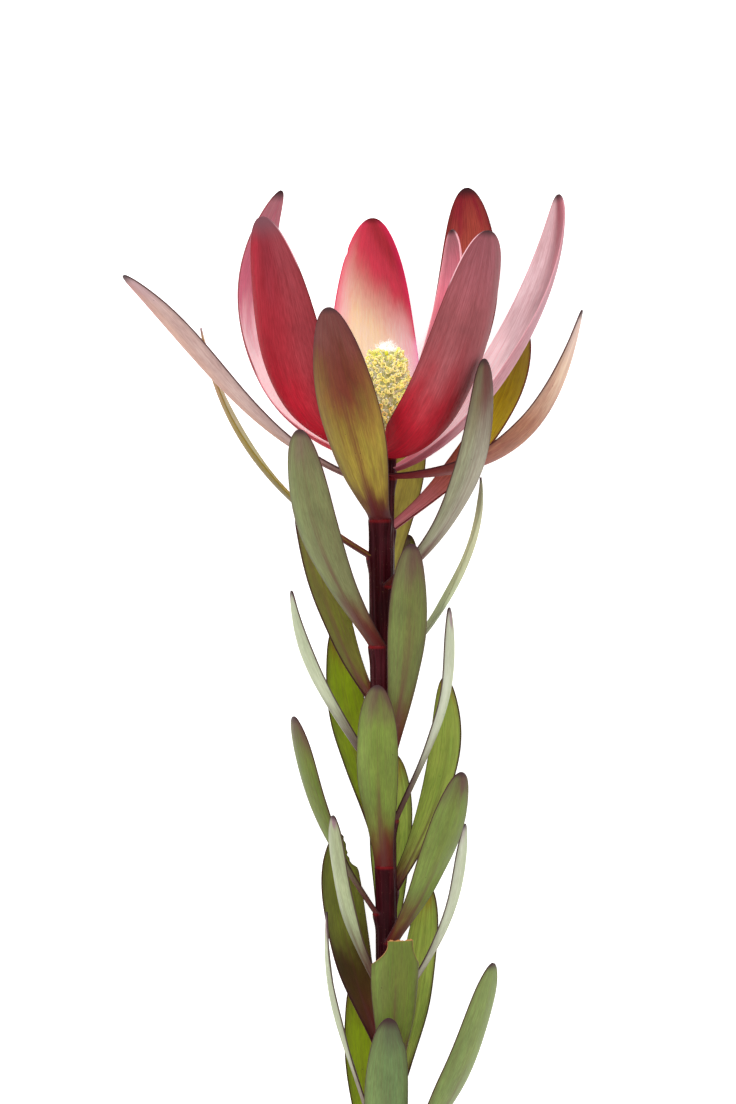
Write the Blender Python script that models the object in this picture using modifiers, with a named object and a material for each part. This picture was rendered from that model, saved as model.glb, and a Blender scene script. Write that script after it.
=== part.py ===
"""A cut leucadendron stem, lying on a table.

The plant is modelled in its own growing frame, in millimetres: the stem rises along +Z from the
cut end at Z = 0, its front faces -Y and its right side +X. One empty then lays the whole plant
down on its back, so that the head points along +Y and the front looks up along +Z.

Every leaf and bract is one leathery blade. Its middle line is a curve in the plane of its
azimuth, it is widest beyond the middle, and it is cupped towards the stem. Successive leaves
turn round the stem by the golden angle.
"""

import math
from collections import namedtuple

import bmesh
import bpy
from mathutils import Matrix, Vector

MM = 0.001

# Stem
STEM_TOP = 336.5
STEM_RADIUS_CUT = 4.1
STEM_RADIUS_MIDDLE = 3.75
STEM_RADIUS_NECK = 4.45
RECEPTACLE_RADIUS = 5.1
RECEPTACLE_HEIGHT = 4.0
STEM_MIDDLE = 170.0
STEM_NECK = 300.0
STEM_SIDES = 16
STEM_RING_SPACING = 9.0
STEM_BEND = 0.9
STEM_BEND_LENGTH = 330.0
STEM_BEND_MIDDLE = 225.0

# Leaf cushions and the scars of the stripped leaves
CUSHION_HALF_WIDTH = 2.5
CUSHION_HALF_HEIGHT = 2.8
CUSHION_RISE = 0.8
CUSHION_DROP = 3.8
HIGHEST_CUSHION = 321.0
SCAR_HEIGHTS = (52.0, 43.0, 34.0, 25.0, 16.0)

# Cone of florets
CONE_FOOT = 336.9
CONE_HEIGHT = 33.0
CONE_RADIUS = 7.1
CONE_SHIFT = 1.6
FLORET_COUNT = 150
FLORET_LENGTH = 1.9
FLORET_RADIUS = 0.85
FLORET_SIDES = 4
FLORET_SINK = 1.2

# Blades
BLADE_THICKNESS = 0.9
BLADE_ROWS = 11
BRACT_ROWS = 13
BLADE_COLUMNS = 4
ROW_CROWDING = 0.7
SEAT_GAP = 0.5

# Phyllotaxis
GOLDEN_ANGLE = 137.5

# How the plant lies
LYING_TILT = 6.25
LYING_ROLL = 0.23
LYING_SHIFT = (10.86, -215.69, 9.99)

Blade = namedtuple(
    "Blade",
    "name height azimuth reach rise side width base widest swell depart arrive bow cup twist blunt"
    " finish",
)

# height: of the base above the cut end. azimuth: 0 faces the front, positive to the right.
# reach, rise and side: the tip, out from the stem's axis, up from the base, and round the stem.
# base: the base's width. widest: where the blade is widest, along its length.
# swell: how fast it widens from the base; 1 is full early, 2 is slow.
# depart and arrive: the middle line's angle from the stem at the base and at the tip.
# bow: how far those two angles carry, as a share of the blade's length.
# cup: radius of the blade's cross-section. twist: how far the tip is turned about the middle line.
# blunt: how full the tip is; 1.6 is nearly pointed, 2.7 is round.
BRACTS = (
    Blade("bract_inner_right", 335.3, 110, 25.5, 75, -2, 28.5, 7, 0.44, 1.1, 65, -22, 0.31, 12.3, 4, 1.6,
          "bract_red"),
    Blade("bract_back_middle", 334.4, 181, 39, 83, 2.5, 35, 8, 0.46, 1.0, 75, -6, 0.43, 22, -15, 1.7,
          "bract_red"),
    Blade("bract_front_right", 330, 40, 52, 76, 3.5, 33.5, 9, 0.38, 0.4, 98, -2, 0.32, 15.5, 0, 2.1,
          "bract_red"),
    Blade("bract_front_left", 330, -57, 50.5, 81.5, 2, 36, 9, 0.49, 0.55, 79, 12, 0.46, 24, 18, 1.65,
          "bract_red"),
    Blade("bract_back_right", 329.6, 146, 56, 99.5, 0.5, 29, 8, 0.55, 1.2, 66, -18, 0.44, 18, 6, 2.2,
          "bract_red"),
    Blade("bract_back_left", 328.8, -134, 50, 98, 0, 26.5, 8, 0.47, 1.1, 84, -44, 0.49, 17, 9, 1.8,
          "bract_red"),
    Blade("bract_right", 325.2, 108.5, 66.5, 99, 0.3, 28, 8, 0.47, 1.2, 76, -9.5, 0.29, 13.8, 9, 1.7,
          "bract_pink"),
    Blade("bract_outer_right", 322.8, 75, 71.5, 57.5, 0, 22.5, 8, 0.51, 1.25, 90, 10.5, 0.49, 11, 2, 1.5,
          "bract_brown"),
    Blade("bract_outer_left", 320.2, -82, 90.5, 72.5, 0, 22, 7.5, 0.64, 1.6, 70, 43, 0.4, 16.5, 12, 2.2,
          "bract_brown"),
    Blade("bract_front_middle", 308, -12, 47, 71.5, -8.5, 23.5, 9, 0.56, 1.6, 61, 11, 0.33, 26.5, -18, 1.8,
          "bract_olive"),
    Blade("bract_low_right", 304.3, 129, 65.5, 71.5, -2.5, 20, 7.5, 0.54, 1.5, 60, 11, 0.4, 16, 0, 2.2,
          "bract_olive"),
)

LEAVES = (
    Blade("leaf_01", 295, -101, 65, 81, 0, 15, 7.8, 0.59, 1.5, 60, 9, 0.38, 14, 10, 2.4,
          "leaf_olive"),
    Blade("leaf_02", 285, 51, 45, 78, 0, 15.5, 7.3, 0.64, 1.9, 54, -5, 0.4, 15, -4, 2.3,
          "leaf_green"),
    Blade("leaf_03", 275.5, 181, 33.5, 70.5, -12.5, 14, 7.5, 0.6, 1.7, 33, 11, 0.4, 16, 0, 2.4,
          "leaf_green"),
    Blade("leaf_04", 264, -37, 47, 74.5, 0, 17, 8.3, 0.64, 1.6, 45, 5, 0.41, 17, 10, 2.5,
          "leaf_green"),
    Blade("leaf_05", 256.6, 100, 35, 66.5, 0, 15.5, 7.3, 0.54, 1.8, 47, -10, 0.32, 14, -9, 2.2,
          "leaf_green"),
    Blade("leaf_06", 243.5, -124, 35.5, 68.5, 0, 17.5, 7.4, 0.55, 1.55, 39, 16, 0.32, 15.5, -11, 2.4,
          "leaf_olive"),
    Blade("leaf_07", 225.7, 26, 21.5, 74, 0, 15, 7.3, 0.64, 1.95, 27, 3, 0.43, 16, -4, 2.5,
          "leaf_green"),
    Blade("leaf_08", 232, 160, 26.5, 71, 0, 13.5, 7.5, 0.58, 1.7, 30, 9, 0.41, 16, -5, 2.3,
          "leaf_green"),
    Blade("leaf_09", 219, -69, 34.5, 64.5, 0, 15, 7.5, 0.54, 1.7, 32, 2, 0.39, 14.5, -5, 2.2,
          "leaf_green"),
    Blade("leaf_10", 203, 83, 22.5, 74.5, 0, 14.5, 7, 0.63, 1.6, 24, -8, 0.44, 14, -10, 2.6,
          "leaf_green"),
    Blade("leaf_11", 193.5, -151, 36, 77, 0, 16, 7, 0.56, 1.8, 28, 7, 0.44, 16, -1, 2.4,
          "leaf_green"),
    Blade("leaf_12", 187, -10, 20, 64, 0.5, 15, 7.5, 0.6, 1.7, 25, -6, 0.42, 15.5, 7, 2.7,
          "leaf_green"),
    Blade("leaf_13", 178, 128, 26.5, 74.5, 0, 18, 7.5, 0.6, 1.7, 35, -16, 0.4, 16, 0, 2.4,
          "leaf_green"),
    Blade("leaf_14", 170.5, -84, 32.5, 69, 0, 17.5, 6.8, 0.62, 1.9, 34, 6, 0.43, 12.5, 22, 2.4,
          "leaf_green"),
    Blade("leaf_15", 160.5, 43, 37.5, 61, 0, 16, 7.4, 0.6, 1.65, 40, 14, 0.39, 16.5, -8, 2.4,
          "leaf_green"),
    Blade("leaf_16", 152.2, 175, 25, 73, 0, 15.5, 7.2, 0.67, 1.9, 23, 8, 0.42, 16, 3, 2.4,
          "leaf_green"),
    Blade("leaf_17", 145.1, -57, 22.5, 60.5, 0.5, 11, 6, 0.67, 2.1, 29, 2, 0.4, 14, -2, 2.4,
          "leaf_green"),
    Blade("leaf_18", 138, 83, 27.5, 64, 0, 15.5, 7.5, 0.61, 1.7, 35, -2, 0.41, 14, -10, 2.4,
          "leaf_green"),
    Blade("leaf_19", 123.2, -139, 25.5, 74, 0, 18.5, 7.7, 0.59, 1.4, 31, -6, 0.38, 18.5, -10, 2.4,
          "leaf_green"),
    Blade("leaf_20", 108, 12, 20.5, 76, 0, 18, 7.9, 0.61, 1.8, 27, 8, 0.41, 16, 1, 2.4,
          "leaf_green"),
    Blade("leaf_21", 101.2, 142, 25, 77, 0, 15.5, 7.4, 0.61, 1.8, 20, 5, 0.43, 16, -1, 2.3,
          "leaf_green"),
    Blade("leaf_22", 91.5, -87, 20.5, 79.5, 0, 14, 7, 0.62, 1.75, 14, -4, 0.45, 14, 0, 2.4,
          "leaf_green"),
    Blade("leaf_23", 80, 55, 45, 76, 0, 19, 7.5, 0.53, 1.65, 44, 10, 0.39, 16.5, -4, 2.3,
          "leaf_green"),
    Blade("leaf_24", 71.2, -157, 26.5, 72.5, 0, 14.5, 7.5, 0.62, 1.7, 26, 12, 0.39, 15.5, 5, 2.4,
          "leaf_green"),
    Blade("leaf_25", 62, 0, 21.5, 74.5, 1.5, 16, 8, 0.62, 1.7, 23, 9, 0.4, 14.5, 6, 2.4,
          "leaf_green"),
)

# The torn leaf: it ends at this share of its length, at a lip this wide beside a notch on its left.
TORN_LEAF = "leaf_20"
TORN_END = 0.75
TORN_SHOULDER = 0.14
TORN_LIP_LEFT = 0.38
TORN_LIP_RIGHT = 0.68

# Finish name: colour, roughness
FINISHES = {
    "stem_bark": ((0.11, 0.02, 0.03), 0.38),
    "bract_red": ((0.45, 0.03, 0.06), 0.42),
    "bract_pink": ((0.62, 0.2, 0.24), 0.42),
    "bract_brown": ((0.42, 0.16, 0.1), 0.42),
    "bract_olive": ((0.25, 0.16, 0.05), 0.42),
    "leaf_olive": ((0.28, 0.24, 0.06), 0.45),
    "leaf_green": ((0.16, 0.24, 0.07), 0.45),
    "cone_yellow": ((0.72, 0.62, 0.14), 0.6),
}


def clear_scene():
    """Removes the objects that the file opened with."""
    for old in list(bpy.data.objects):
        bpy.data.objects.remove(old, do_unlink=True)


def new_collection(name):
    """A collection linked to the scene."""
    made = bpy.data.collections.new(name)
    bpy.context.scene.collection.children.link(made)
    return made


def make_material(name):
    """A plain Principled material in the finish's colour and roughness."""
    colour, roughness = FINISHES[name]
    material = bpy.data.materials.new(name)
    material.use_nodes = True
    shader = material.node_tree.nodes["Principled BSDF"]
    shader.inputs["Base Color"].default_value = (*colour, 1.0)
    shader.inputs["Roughness"].default_value = roughness
    shader.inputs["Metallic"].default_value = 0.0
    return material


def smooth_step(low, high, value):
    """0 below low, 1 above high, and an easy slope between them."""
    t = min(1.0, max(0.0, (value - low) / (high - low)))
    return t * t * (3.0 - 2.0 * t)


def stem_radius(height):
    """The stem's radius: slimmest in the middle, thick at the neck, flared under the cone."""
    if height < STEM_MIDDLE:
        share = smooth_step(0.0, STEM_MIDDLE, height)
        return STEM_RADIUS_CUT + (STEM_RADIUS_MIDDLE - STEM_RADIUS_CUT) * share
    neck = smooth_step(STEM_MIDDLE, STEM_NECK, height)
    flare = smooth_step(STEM_TOP - RECEPTACLE_HEIGHT, STEM_TOP, height)
    radius = STEM_RADIUS_MIDDLE + (STEM_RADIUS_NECK - STEM_RADIUS_MIDDLE) * neck
    return radius + (RECEPTACLE_RADIUS - STEM_RADIUS_NECK) * flare


def stem_centre(height):
    """The stem's centre line, with its slight bend to either side."""
    turn = 2.0 * math.pi * (STEM_BEND_MIDDLE - height) / STEM_BEND_LENGTH
    sway = STEM_BEND * math.sin(turn)
    return Vector((sway, 0.0, height))


def blade_line(blade, t):
    """Point and direction of the blade's middle line, from base (t = 0) to tip (t = 1).

    Local axes: x runs round the stem, -y points away from it, z runs up it.
    """
    leave, land = math.radians(blade.depart), math.radians(blade.arrive)
    start_out = stem_radius(blade.height) + SEAT_GAP + 0.5 * BLADE_THICKNESS * math.cos(leave)
    start = Vector((0.0, -start_out, 0.0))
    tip = Vector((blade.side, -blade.reach, blade.rise))
    handle = blade.bow * (tip - start).length
    near = start + handle * Vector((0.0, -math.sin(leave), math.cos(leave)))
    side_slope = 0.5 * blade.side / blade.rise
    far = tip - handle * Vector((side_slope, -math.sin(land), math.cos(land)))
    s = 1.0 - t
    point = s**3 * start + 3 * s * s * t * near + 3 * s * t * t * far + t**3 * tip
    slope = 3 * s * s * (near - start) + 6 * s * t * (far - near) + 3 * t * t * (tip - far)
    return point, slope.normalized()


def half_width(blade, t):
    """Half of the blade's width: narrow base, widest near the middle, blunt tip."""
    if t < blade.widest:
        swell = math.sin(0.5 * math.pi * t / blade.widest) ** blade.swell
        return 0.5 * (blade.base + (blade.width - blade.base) * swell)
    taper = (t - blade.widest) / (1.0 - blade.widest)
    return 0.5 * blade.width * math.sqrt(max(0.0, 1.0 - taper**blade.blunt))


def blade_point(blade, across, along):
    """A point of the blade's middle surface; across runs from -1 to 1 and along from 0 to 1."""
    centre, direction = blade_line(blade, along)
    sideways = Vector((1.0, 0.0, 0.0))
    sideways = (sideways - sideways.dot(direction) * direction).normalized()
    turn = Matrix.Rotation(math.radians(blade.twist) * along, 3, direction)
    sideways = turn @ sideways
    inner = direction.cross(sideways)
    hug = stem_radius(blade.height) + SEAT_GAP + 0.5 * BLADE_THICKNESS
    radius = hug + (blade.cup - hug) * smooth_step(0.0, 0.35, along)
    angle = across * half_width(blade, along) / radius
    return centre + radius * (math.sin(angle) * sideways + (1.0 - math.cos(angle)) * inner)


def spread_rows(share):
    """Rows crowd towards the base and the tip, where the outline bends most."""
    return share - ROW_CROWDING * math.sin(2.0 * math.pi * share) / (2.0 * math.pi)


def torn(across, along):
    """Draws a point of the torn leaf in: the leaf stops early, and both its corners are gone."""
    near_end = smooth_step(1.0 - TORN_SHOULDER, 1.0, along)
    lip = TORN_LIP_LEFT if across < 0.0 else TORN_LIP_RIGHT
    return across * (1.0 + (lip - 1.0) * near_end), along * TORN_END


def blade_mesh(blade, rows):
    """The blade's middle surface: a grid laid along the middle line and split into triangles."""
    grid = bmesh.new()
    bmesh.ops.create_grid(grid, x_segments=BLADE_COLUMNS, y_segments=rows, size=1.0)
    for vertex in grid.verts:
        across = vertex.co.x
        along = spread_rows(0.5 * (vertex.co.y + 1.0))
        if blade.name == TORN_LEAF:
            across, along = torn(across, along)
        vertex.co = MM * blade_point(blade, across, along)
    bmesh.ops.remove_doubles(grid, verts=grid.verts, dist=0.01 * MM)
    bmesh.ops.triangulate(grid, faces=grid.faces)
    mesh = bpy.data.meshes.new(blade.name)
    grid.to_mesh(mesh)
    grid.free()
    return mesh


def add_blade(blade, rows, plant, collection, materials):
    """One leaf or bract, set against the stem at its height and azimuth."""
    mesh = blade_mesh(blade, rows)
    mesh.materials.append(materials[blade.finish])
    mesh.shade_smooth()
    piece = bpy.data.objects.new(blade.name, mesh)
    collection.objects.link(piece)
    thickness = piece.modifiers.new("thickness", "SOLIDIFY")
    thickness.thickness = BLADE_THICKNESS * MM
    thickness.offset = 0.0
    piece.parent = plant
    piece.location = MM * stem_centre(blade.height)
    piece.rotation_euler = (0.0, 0.0, math.radians(blade.azimuth))
    return piece


def join_all(target, helpers, name):
    """One Boolean union of the target with every object of a collection, applied."""
    union = target.modifiers.new(name, "BOOLEAN")
    union.operation = "UNION"
    union.operand_type = "COLLECTION"
    union.collection = helpers
    union.solver = "MANIFOLD"
    bpy.context.view_layer.update()
    graph = bpy.context.evaluated_depsgraph_get()
    joined = bpy.data.meshes.new_from_object(target.evaluated_get(graph))
    target.modifiers.remove(union)
    target.data = joined
    for helper in list(helpers.objects):
        bpy.data.objects.remove(helper, do_unlink=True)
    bpy.data.collections.remove(helpers)


def stem_tube():
    """The bare stem as a stack of rings round its centre line, capped at both ends."""
    count = round(STEM_TOP / STEM_RING_SPACING)
    tube = bmesh.new()
    bmesh.ops.create_cone(
        tube, cap_ends=True, segments=STEM_SIDES, radius1=1.0, radius2=1.0, depth=1.0
    )
    sides = [edge for edge in tube.edges if abs(edge.verts[0].co.z - edge.verts[1].co.z) > 0.5]
    bmesh.ops.subdivide_edges(tube, edges=sides, cuts=count - 1)
    for vertex in tube.verts:
        height = STEM_TOP * (vertex.co.z + 0.5)
        radius = stem_radius(height)
        centre = stem_centre(height)
        vertex.co = MM * (centre + Vector((radius * vertex.co.x, radius * vertex.co.y, 0.0)))
    mesh = bpy.data.meshes.new("main_stem")
    tube.to_mesh(mesh)
    tube.free()
    return mesh


def add_cushion(helpers, height, azimuth):
    """The low swelling of the stem just under a leaf, or the scar of a stripped one."""
    swelling = bmesh.new()
    bmesh.ops.create_uvsphere(swelling, u_segments=7, v_segments=5, radius=1.0)
    centre_height = height - CUSHION_DROP
    sunk = stem_radius(centre_height)
    size = Matrix.Diagonal((CUSHION_HALF_WIDTH, 2.0 * CUSHION_RISE, CUSHION_HALF_HEIGHT, 1.0))
    out = Matrix.Translation((0.0, CUSHION_RISE - sunk, 0.0))
    turn = Matrix.Rotation(math.radians(azimuth), 4, "Z")
    place = Matrix.Translation(stem_centre(centre_height)) @ turn @ out @ size
    bmesh.ops.transform(swelling, matrix=Matrix.Scale(MM, 4) @ place, verts=swelling.verts)
    mesh = bpy.data.meshes.new("cushion")
    swelling.to_mesh(mesh)
    swelling.free()
    helpers.objects.link(bpy.data.objects.new("cushion", mesh))


def add_stem(plant, collection, materials):
    """The stem with a cushion under each leaf and bract, and scars where leaves were stripped."""
    mesh = stem_tube()
    stem = bpy.data.objects.new("main_stem", mesh)
    collection.objects.link(stem)
    cushions = new_collection("cushions")
    for blade in BRACTS + LEAVES:
        if blade.height < HIGHEST_CUSHION:
            add_cushion(cushions, blade.height, blade.azimuth)
    for step, height in enumerate(SCAR_HEIGHTS, start=1):
        add_cushion(cushions, height, LEAVES[-1].azimuth + GOLDEN_ANGLE * step)
    join_all(stem, cushions, "cushions")
    stem.data.name = "main_stem"
    stem.data.materials.clear()
    stem.data.materials.append(materials["stem_bark"])
    stem.data.shade_smooth()
    stem.parent = plant
    return stem


def cone_profile(share):
    """Radius of the cone's core at a share of its height: full below, domed above."""
    foot = 0.72 + 0.28 * smooth_step(0.0, 0.25, share)
    dome = math.sqrt(max(0.0, 1.0 - max(0.0, (share - 0.35) / 0.65) ** 2.6))
    return CONE_RADIUS * foot * dome


def add_floret(helpers, share, azimuth):
    """One floret: a small peg that stands out of the core and leans up it."""
    radius = cone_profile(share)
    step = 0.01
    slope = (cone_profile(min(1.0, share + step)) - radius) / (step * CONE_HEIGHT)
    out = Vector((0.0, -1.0, 0.35 - slope)).normalized()
    root = Vector((0.0, -radius, share * CONE_HEIGHT)) - FLORET_SINK * out
    peg = bmesh.new()
    bmesh.ops.create_cone(
        peg,
        cap_ends=True,
        segments=FLORET_SIDES,
        radius1=FLORET_RADIUS,
        radius2=0.62 * FLORET_RADIUS,
        depth=FLORET_LENGTH + FLORET_SINK,
    )
    aim = out.to_track_quat("Z", "Y").to_matrix().to_4x4()
    lift = Matrix.Translation((0.0, 0.0, 0.5 * (FLORET_LENGTH + FLORET_SINK)))
    turn = Matrix.Rotation(math.radians(azimuth), 4, "Z")
    place = Matrix.Scale(MM, 4) @ turn @ Matrix.Translation(root) @ aim @ lift
    bmesh.ops.transform(peg, matrix=place, verts=peg.verts)
    mesh = bpy.data.meshes.new("floret")
    peg.to_mesh(mesh)
    peg.free()
    helpers.objects.link(bpy.data.objects.new("floret", mesh))


def add_cone(plant, collection, materials):
    """The cone: a domed core covered by florets on a golden-angle spiral."""
    core = bmesh.new()
    bmesh.ops.create_uvsphere(core, u_segments=14, v_segments=12, radius=1.0)
    for vertex in core.verts:
        share = 0.5 * (1.0 + vertex.co.z)
        around = Vector((vertex.co.x, vertex.co.y))
        radius = 0.0 if around.length < 1e-6 else cone_profile(share)
        around = radius * around.normalized() if radius else Vector((0.0, 0.0))
        vertex.co = MM * Vector((around.x, around.y, share * CONE_HEIGHT))
    mesh = bpy.data.meshes.new("flower_cone")
    core.to_mesh(mesh)
    core.free()
    cone = bpy.data.objects.new("flower_cone", mesh)
    collection.objects.link(cone)
    florets = new_collection("florets")
    for index in range(FLORET_COUNT):
        share = 0.05 + 0.93 * (index + 0.5) / FLORET_COUNT
        add_floret(florets, share, GOLDEN_ANGLE * index)
    join_all(cone, florets, "florets")
    cone.data.name = "flower_cone"
    cone.data.materials.clear()
    cone.data.materials.append(materials["cone_yellow"])
    cone.data.shade_smooth()
    cone.parent = plant
    cone.location = MM * (stem_centre(CONE_FOOT) + Vector((CONE_SHIFT, 0.0, 0.0)))
    return cone


def main():
    """Builds the plant upright under one empty, then lays it down."""
    clear_scene()
    collection = new_collection("leucadendron_stem")
    materials = {name: make_material(name) for name in FINISHES}
    plant = bpy.data.objects.new("lying_plant", None)
    collection.objects.link(plant)
    add_stem(plant, collection, materials)
    add_cone(plant, collection, materials)
    for blade in BRACTS:
        add_blade(blade, BRACT_ROWS, plant, collection, materials)
    for blade in LEAVES:
        add_blade(blade, BLADE_ROWS, plant, collection, materials)
    plant.rotation_euler = (math.radians(LYING_TILT - 90.0), math.radians(LYING_ROLL), 0.0)
    plant.location = MM * Vector(LYING_SHIFT)
    bpy.context.view_layer.update()


if __name__ == "__main__":
    main()
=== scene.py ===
"""Dresses the solids of one cut leucadendron stem and sets them in a plain white studio.

The plant is worked out upright, in millimetres: +Z runs up the stem, and a blade of azimuth 0
faces the camera. One matrix then lays the whole plant on the floor, as the solids lie.
"""

from __future__ import annotations

import logging
import math
from dataclasses import dataclass
from enum import Enum

import bpy
import numpy as np
from mathutils import Euler, Matrix, Vector

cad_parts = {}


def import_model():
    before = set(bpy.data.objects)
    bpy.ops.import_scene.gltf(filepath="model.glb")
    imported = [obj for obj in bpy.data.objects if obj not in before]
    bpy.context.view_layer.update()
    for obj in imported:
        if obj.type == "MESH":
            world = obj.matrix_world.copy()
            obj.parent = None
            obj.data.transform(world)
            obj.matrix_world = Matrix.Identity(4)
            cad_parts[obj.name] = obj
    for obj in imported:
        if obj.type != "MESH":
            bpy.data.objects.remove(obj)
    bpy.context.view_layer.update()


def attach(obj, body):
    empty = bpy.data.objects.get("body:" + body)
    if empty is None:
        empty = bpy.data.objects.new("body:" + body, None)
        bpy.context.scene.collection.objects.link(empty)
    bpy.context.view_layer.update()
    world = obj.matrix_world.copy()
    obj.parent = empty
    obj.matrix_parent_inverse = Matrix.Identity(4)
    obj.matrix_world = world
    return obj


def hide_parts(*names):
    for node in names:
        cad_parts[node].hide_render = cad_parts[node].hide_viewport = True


LOG = logging.getLogger("leucadendron_stem")
BODY = "root"
MM = 0.001

Socket = bpy.types.NodeSocket
Sockets = bpy.types.bpy_prop_collection
Material = bpy.types.Material
Colour = tuple[float, float, float, float]
Pair = tuple[float, float]
Triple = tuple[float, float, float]

# The bare stem and the way the plant lies, in millimetres and degrees, as the solids have them.
STEM_TOP = 336.5
STEM_RADIUS_CUT = 4.1
STEM_RADIUS_MIDDLE = 3.75
STEM_RADIUS_NECK = 4.45
RECEPTACLE_RADIUS = 5.1
RECEPTACLE_HEIGHT = 4.0
STEM_MIDDLE = 170.0
STEM_NECK = 300.0
STEM_BEND = 0.9
STEM_BEND_LENGTH = 330.0
STEM_BEND_MIDDLE = 225.0
SEAT_GAP = 0.5
HALF_SOLID_BLADE = 0.45
GOLDEN_ANGLE = 137.5
LYING_TILT = 6.25
LYING_ROLL = 0.23
LYING_SHIFT = (10.86, -215.69, 9.99)


def smooth_step(low: float, high: float, value: np.ndarray) -> np.ndarray:
    """Eases from 0 at low to 1 at high.

    Args:
        low: Where the rise begins.
        high: Where the rise ends.
        value: Numbers to ease.

    Returns:
        The eased numbers, in the shape of value.
    """
    t = np.clip((np.asarray(value, float) - low) / (high - low), 0.0, 1.0)
    return t * t * (3.0 - 2.0 * t)


def stem_radius(height: np.ndarray) -> np.ndarray:
    """Gives the stem's radius at each height, in millimetres.

    Args:
        height: Heights above the cut.

    Returns:
        The radii.
    """
    height = np.asarray(height, float)
    slim = STEM_RADIUS_MIDDLE - STEM_RADIUS_CUT
    low = STEM_RADIUS_CUT + slim * smooth_step(0.0, STEM_MIDDLE, height)
    neck = (STEM_RADIUS_NECK - STEM_RADIUS_MIDDLE) * smooth_step(STEM_MIDDLE, STEM_NECK, height)
    flare = smooth_step(STEM_TOP - RECEPTACLE_HEIGHT, STEM_TOP, height)
    return low + neck + (RECEPTACLE_RADIUS - STEM_RADIUS_NECK) * flare


def stem_centre(height: np.ndarray) -> np.ndarray:
    """Gives the middle of the slightly bent stem.

    Args:
        height: Heights above the cut.

    Returns:
        Points, one for each height.
    """
    height = np.asarray(height, float)
    turn = math.tau * (STEM_BEND_MIDDLE - height) / STEM_BEND_LENGTH
    return np.stack([STEM_BEND * np.sin(turn), np.zeros_like(height), height], axis=-1)


def plant_matrix() -> Matrix:
    """Gives the matrix that lays the upright plant on the floor."""
    turn = Euler((math.radians(LYING_TILT - 90.0), math.radians(LYING_ROLL), 0.0))
    return Matrix.Translation(MM * Vector(LYING_SHIFT)) @ turn.to_matrix().to_4x4()


def grey(level: float) -> Colour:
    """Gives a linear grey."""
    return (level, level, level, 1.0)


def side_axes(way: np.ndarray) -> tuple[np.ndarray, np.ndarray]:
    """Gives two unit axes square to a direction.

    Args:
        way: A unit direction that isn't vertical.

    Returns:
        A level axis, and the one square to it and to the direction.
    """
    right = np.cross((0.0, 0.0, 1.0), way)
    right /= np.linalg.norm(right)
    return right, np.cross(way, right)


class Slot(Enum):
    """The record's material slots."""

    STEM_BARK = "stem_bark"
    BRACT_RED = "bract_red"
    BRACT_PINK = "bract_pink"
    BRACT_BROWN = "bract_brown"
    BRACT_OLIVE = "bract_olive"
    LEAF_OLIVE = "leaf_olive"
    LEAF_GREEN = "leaf_green"
    CONE_YELLOW = "cone_yellow"


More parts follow.
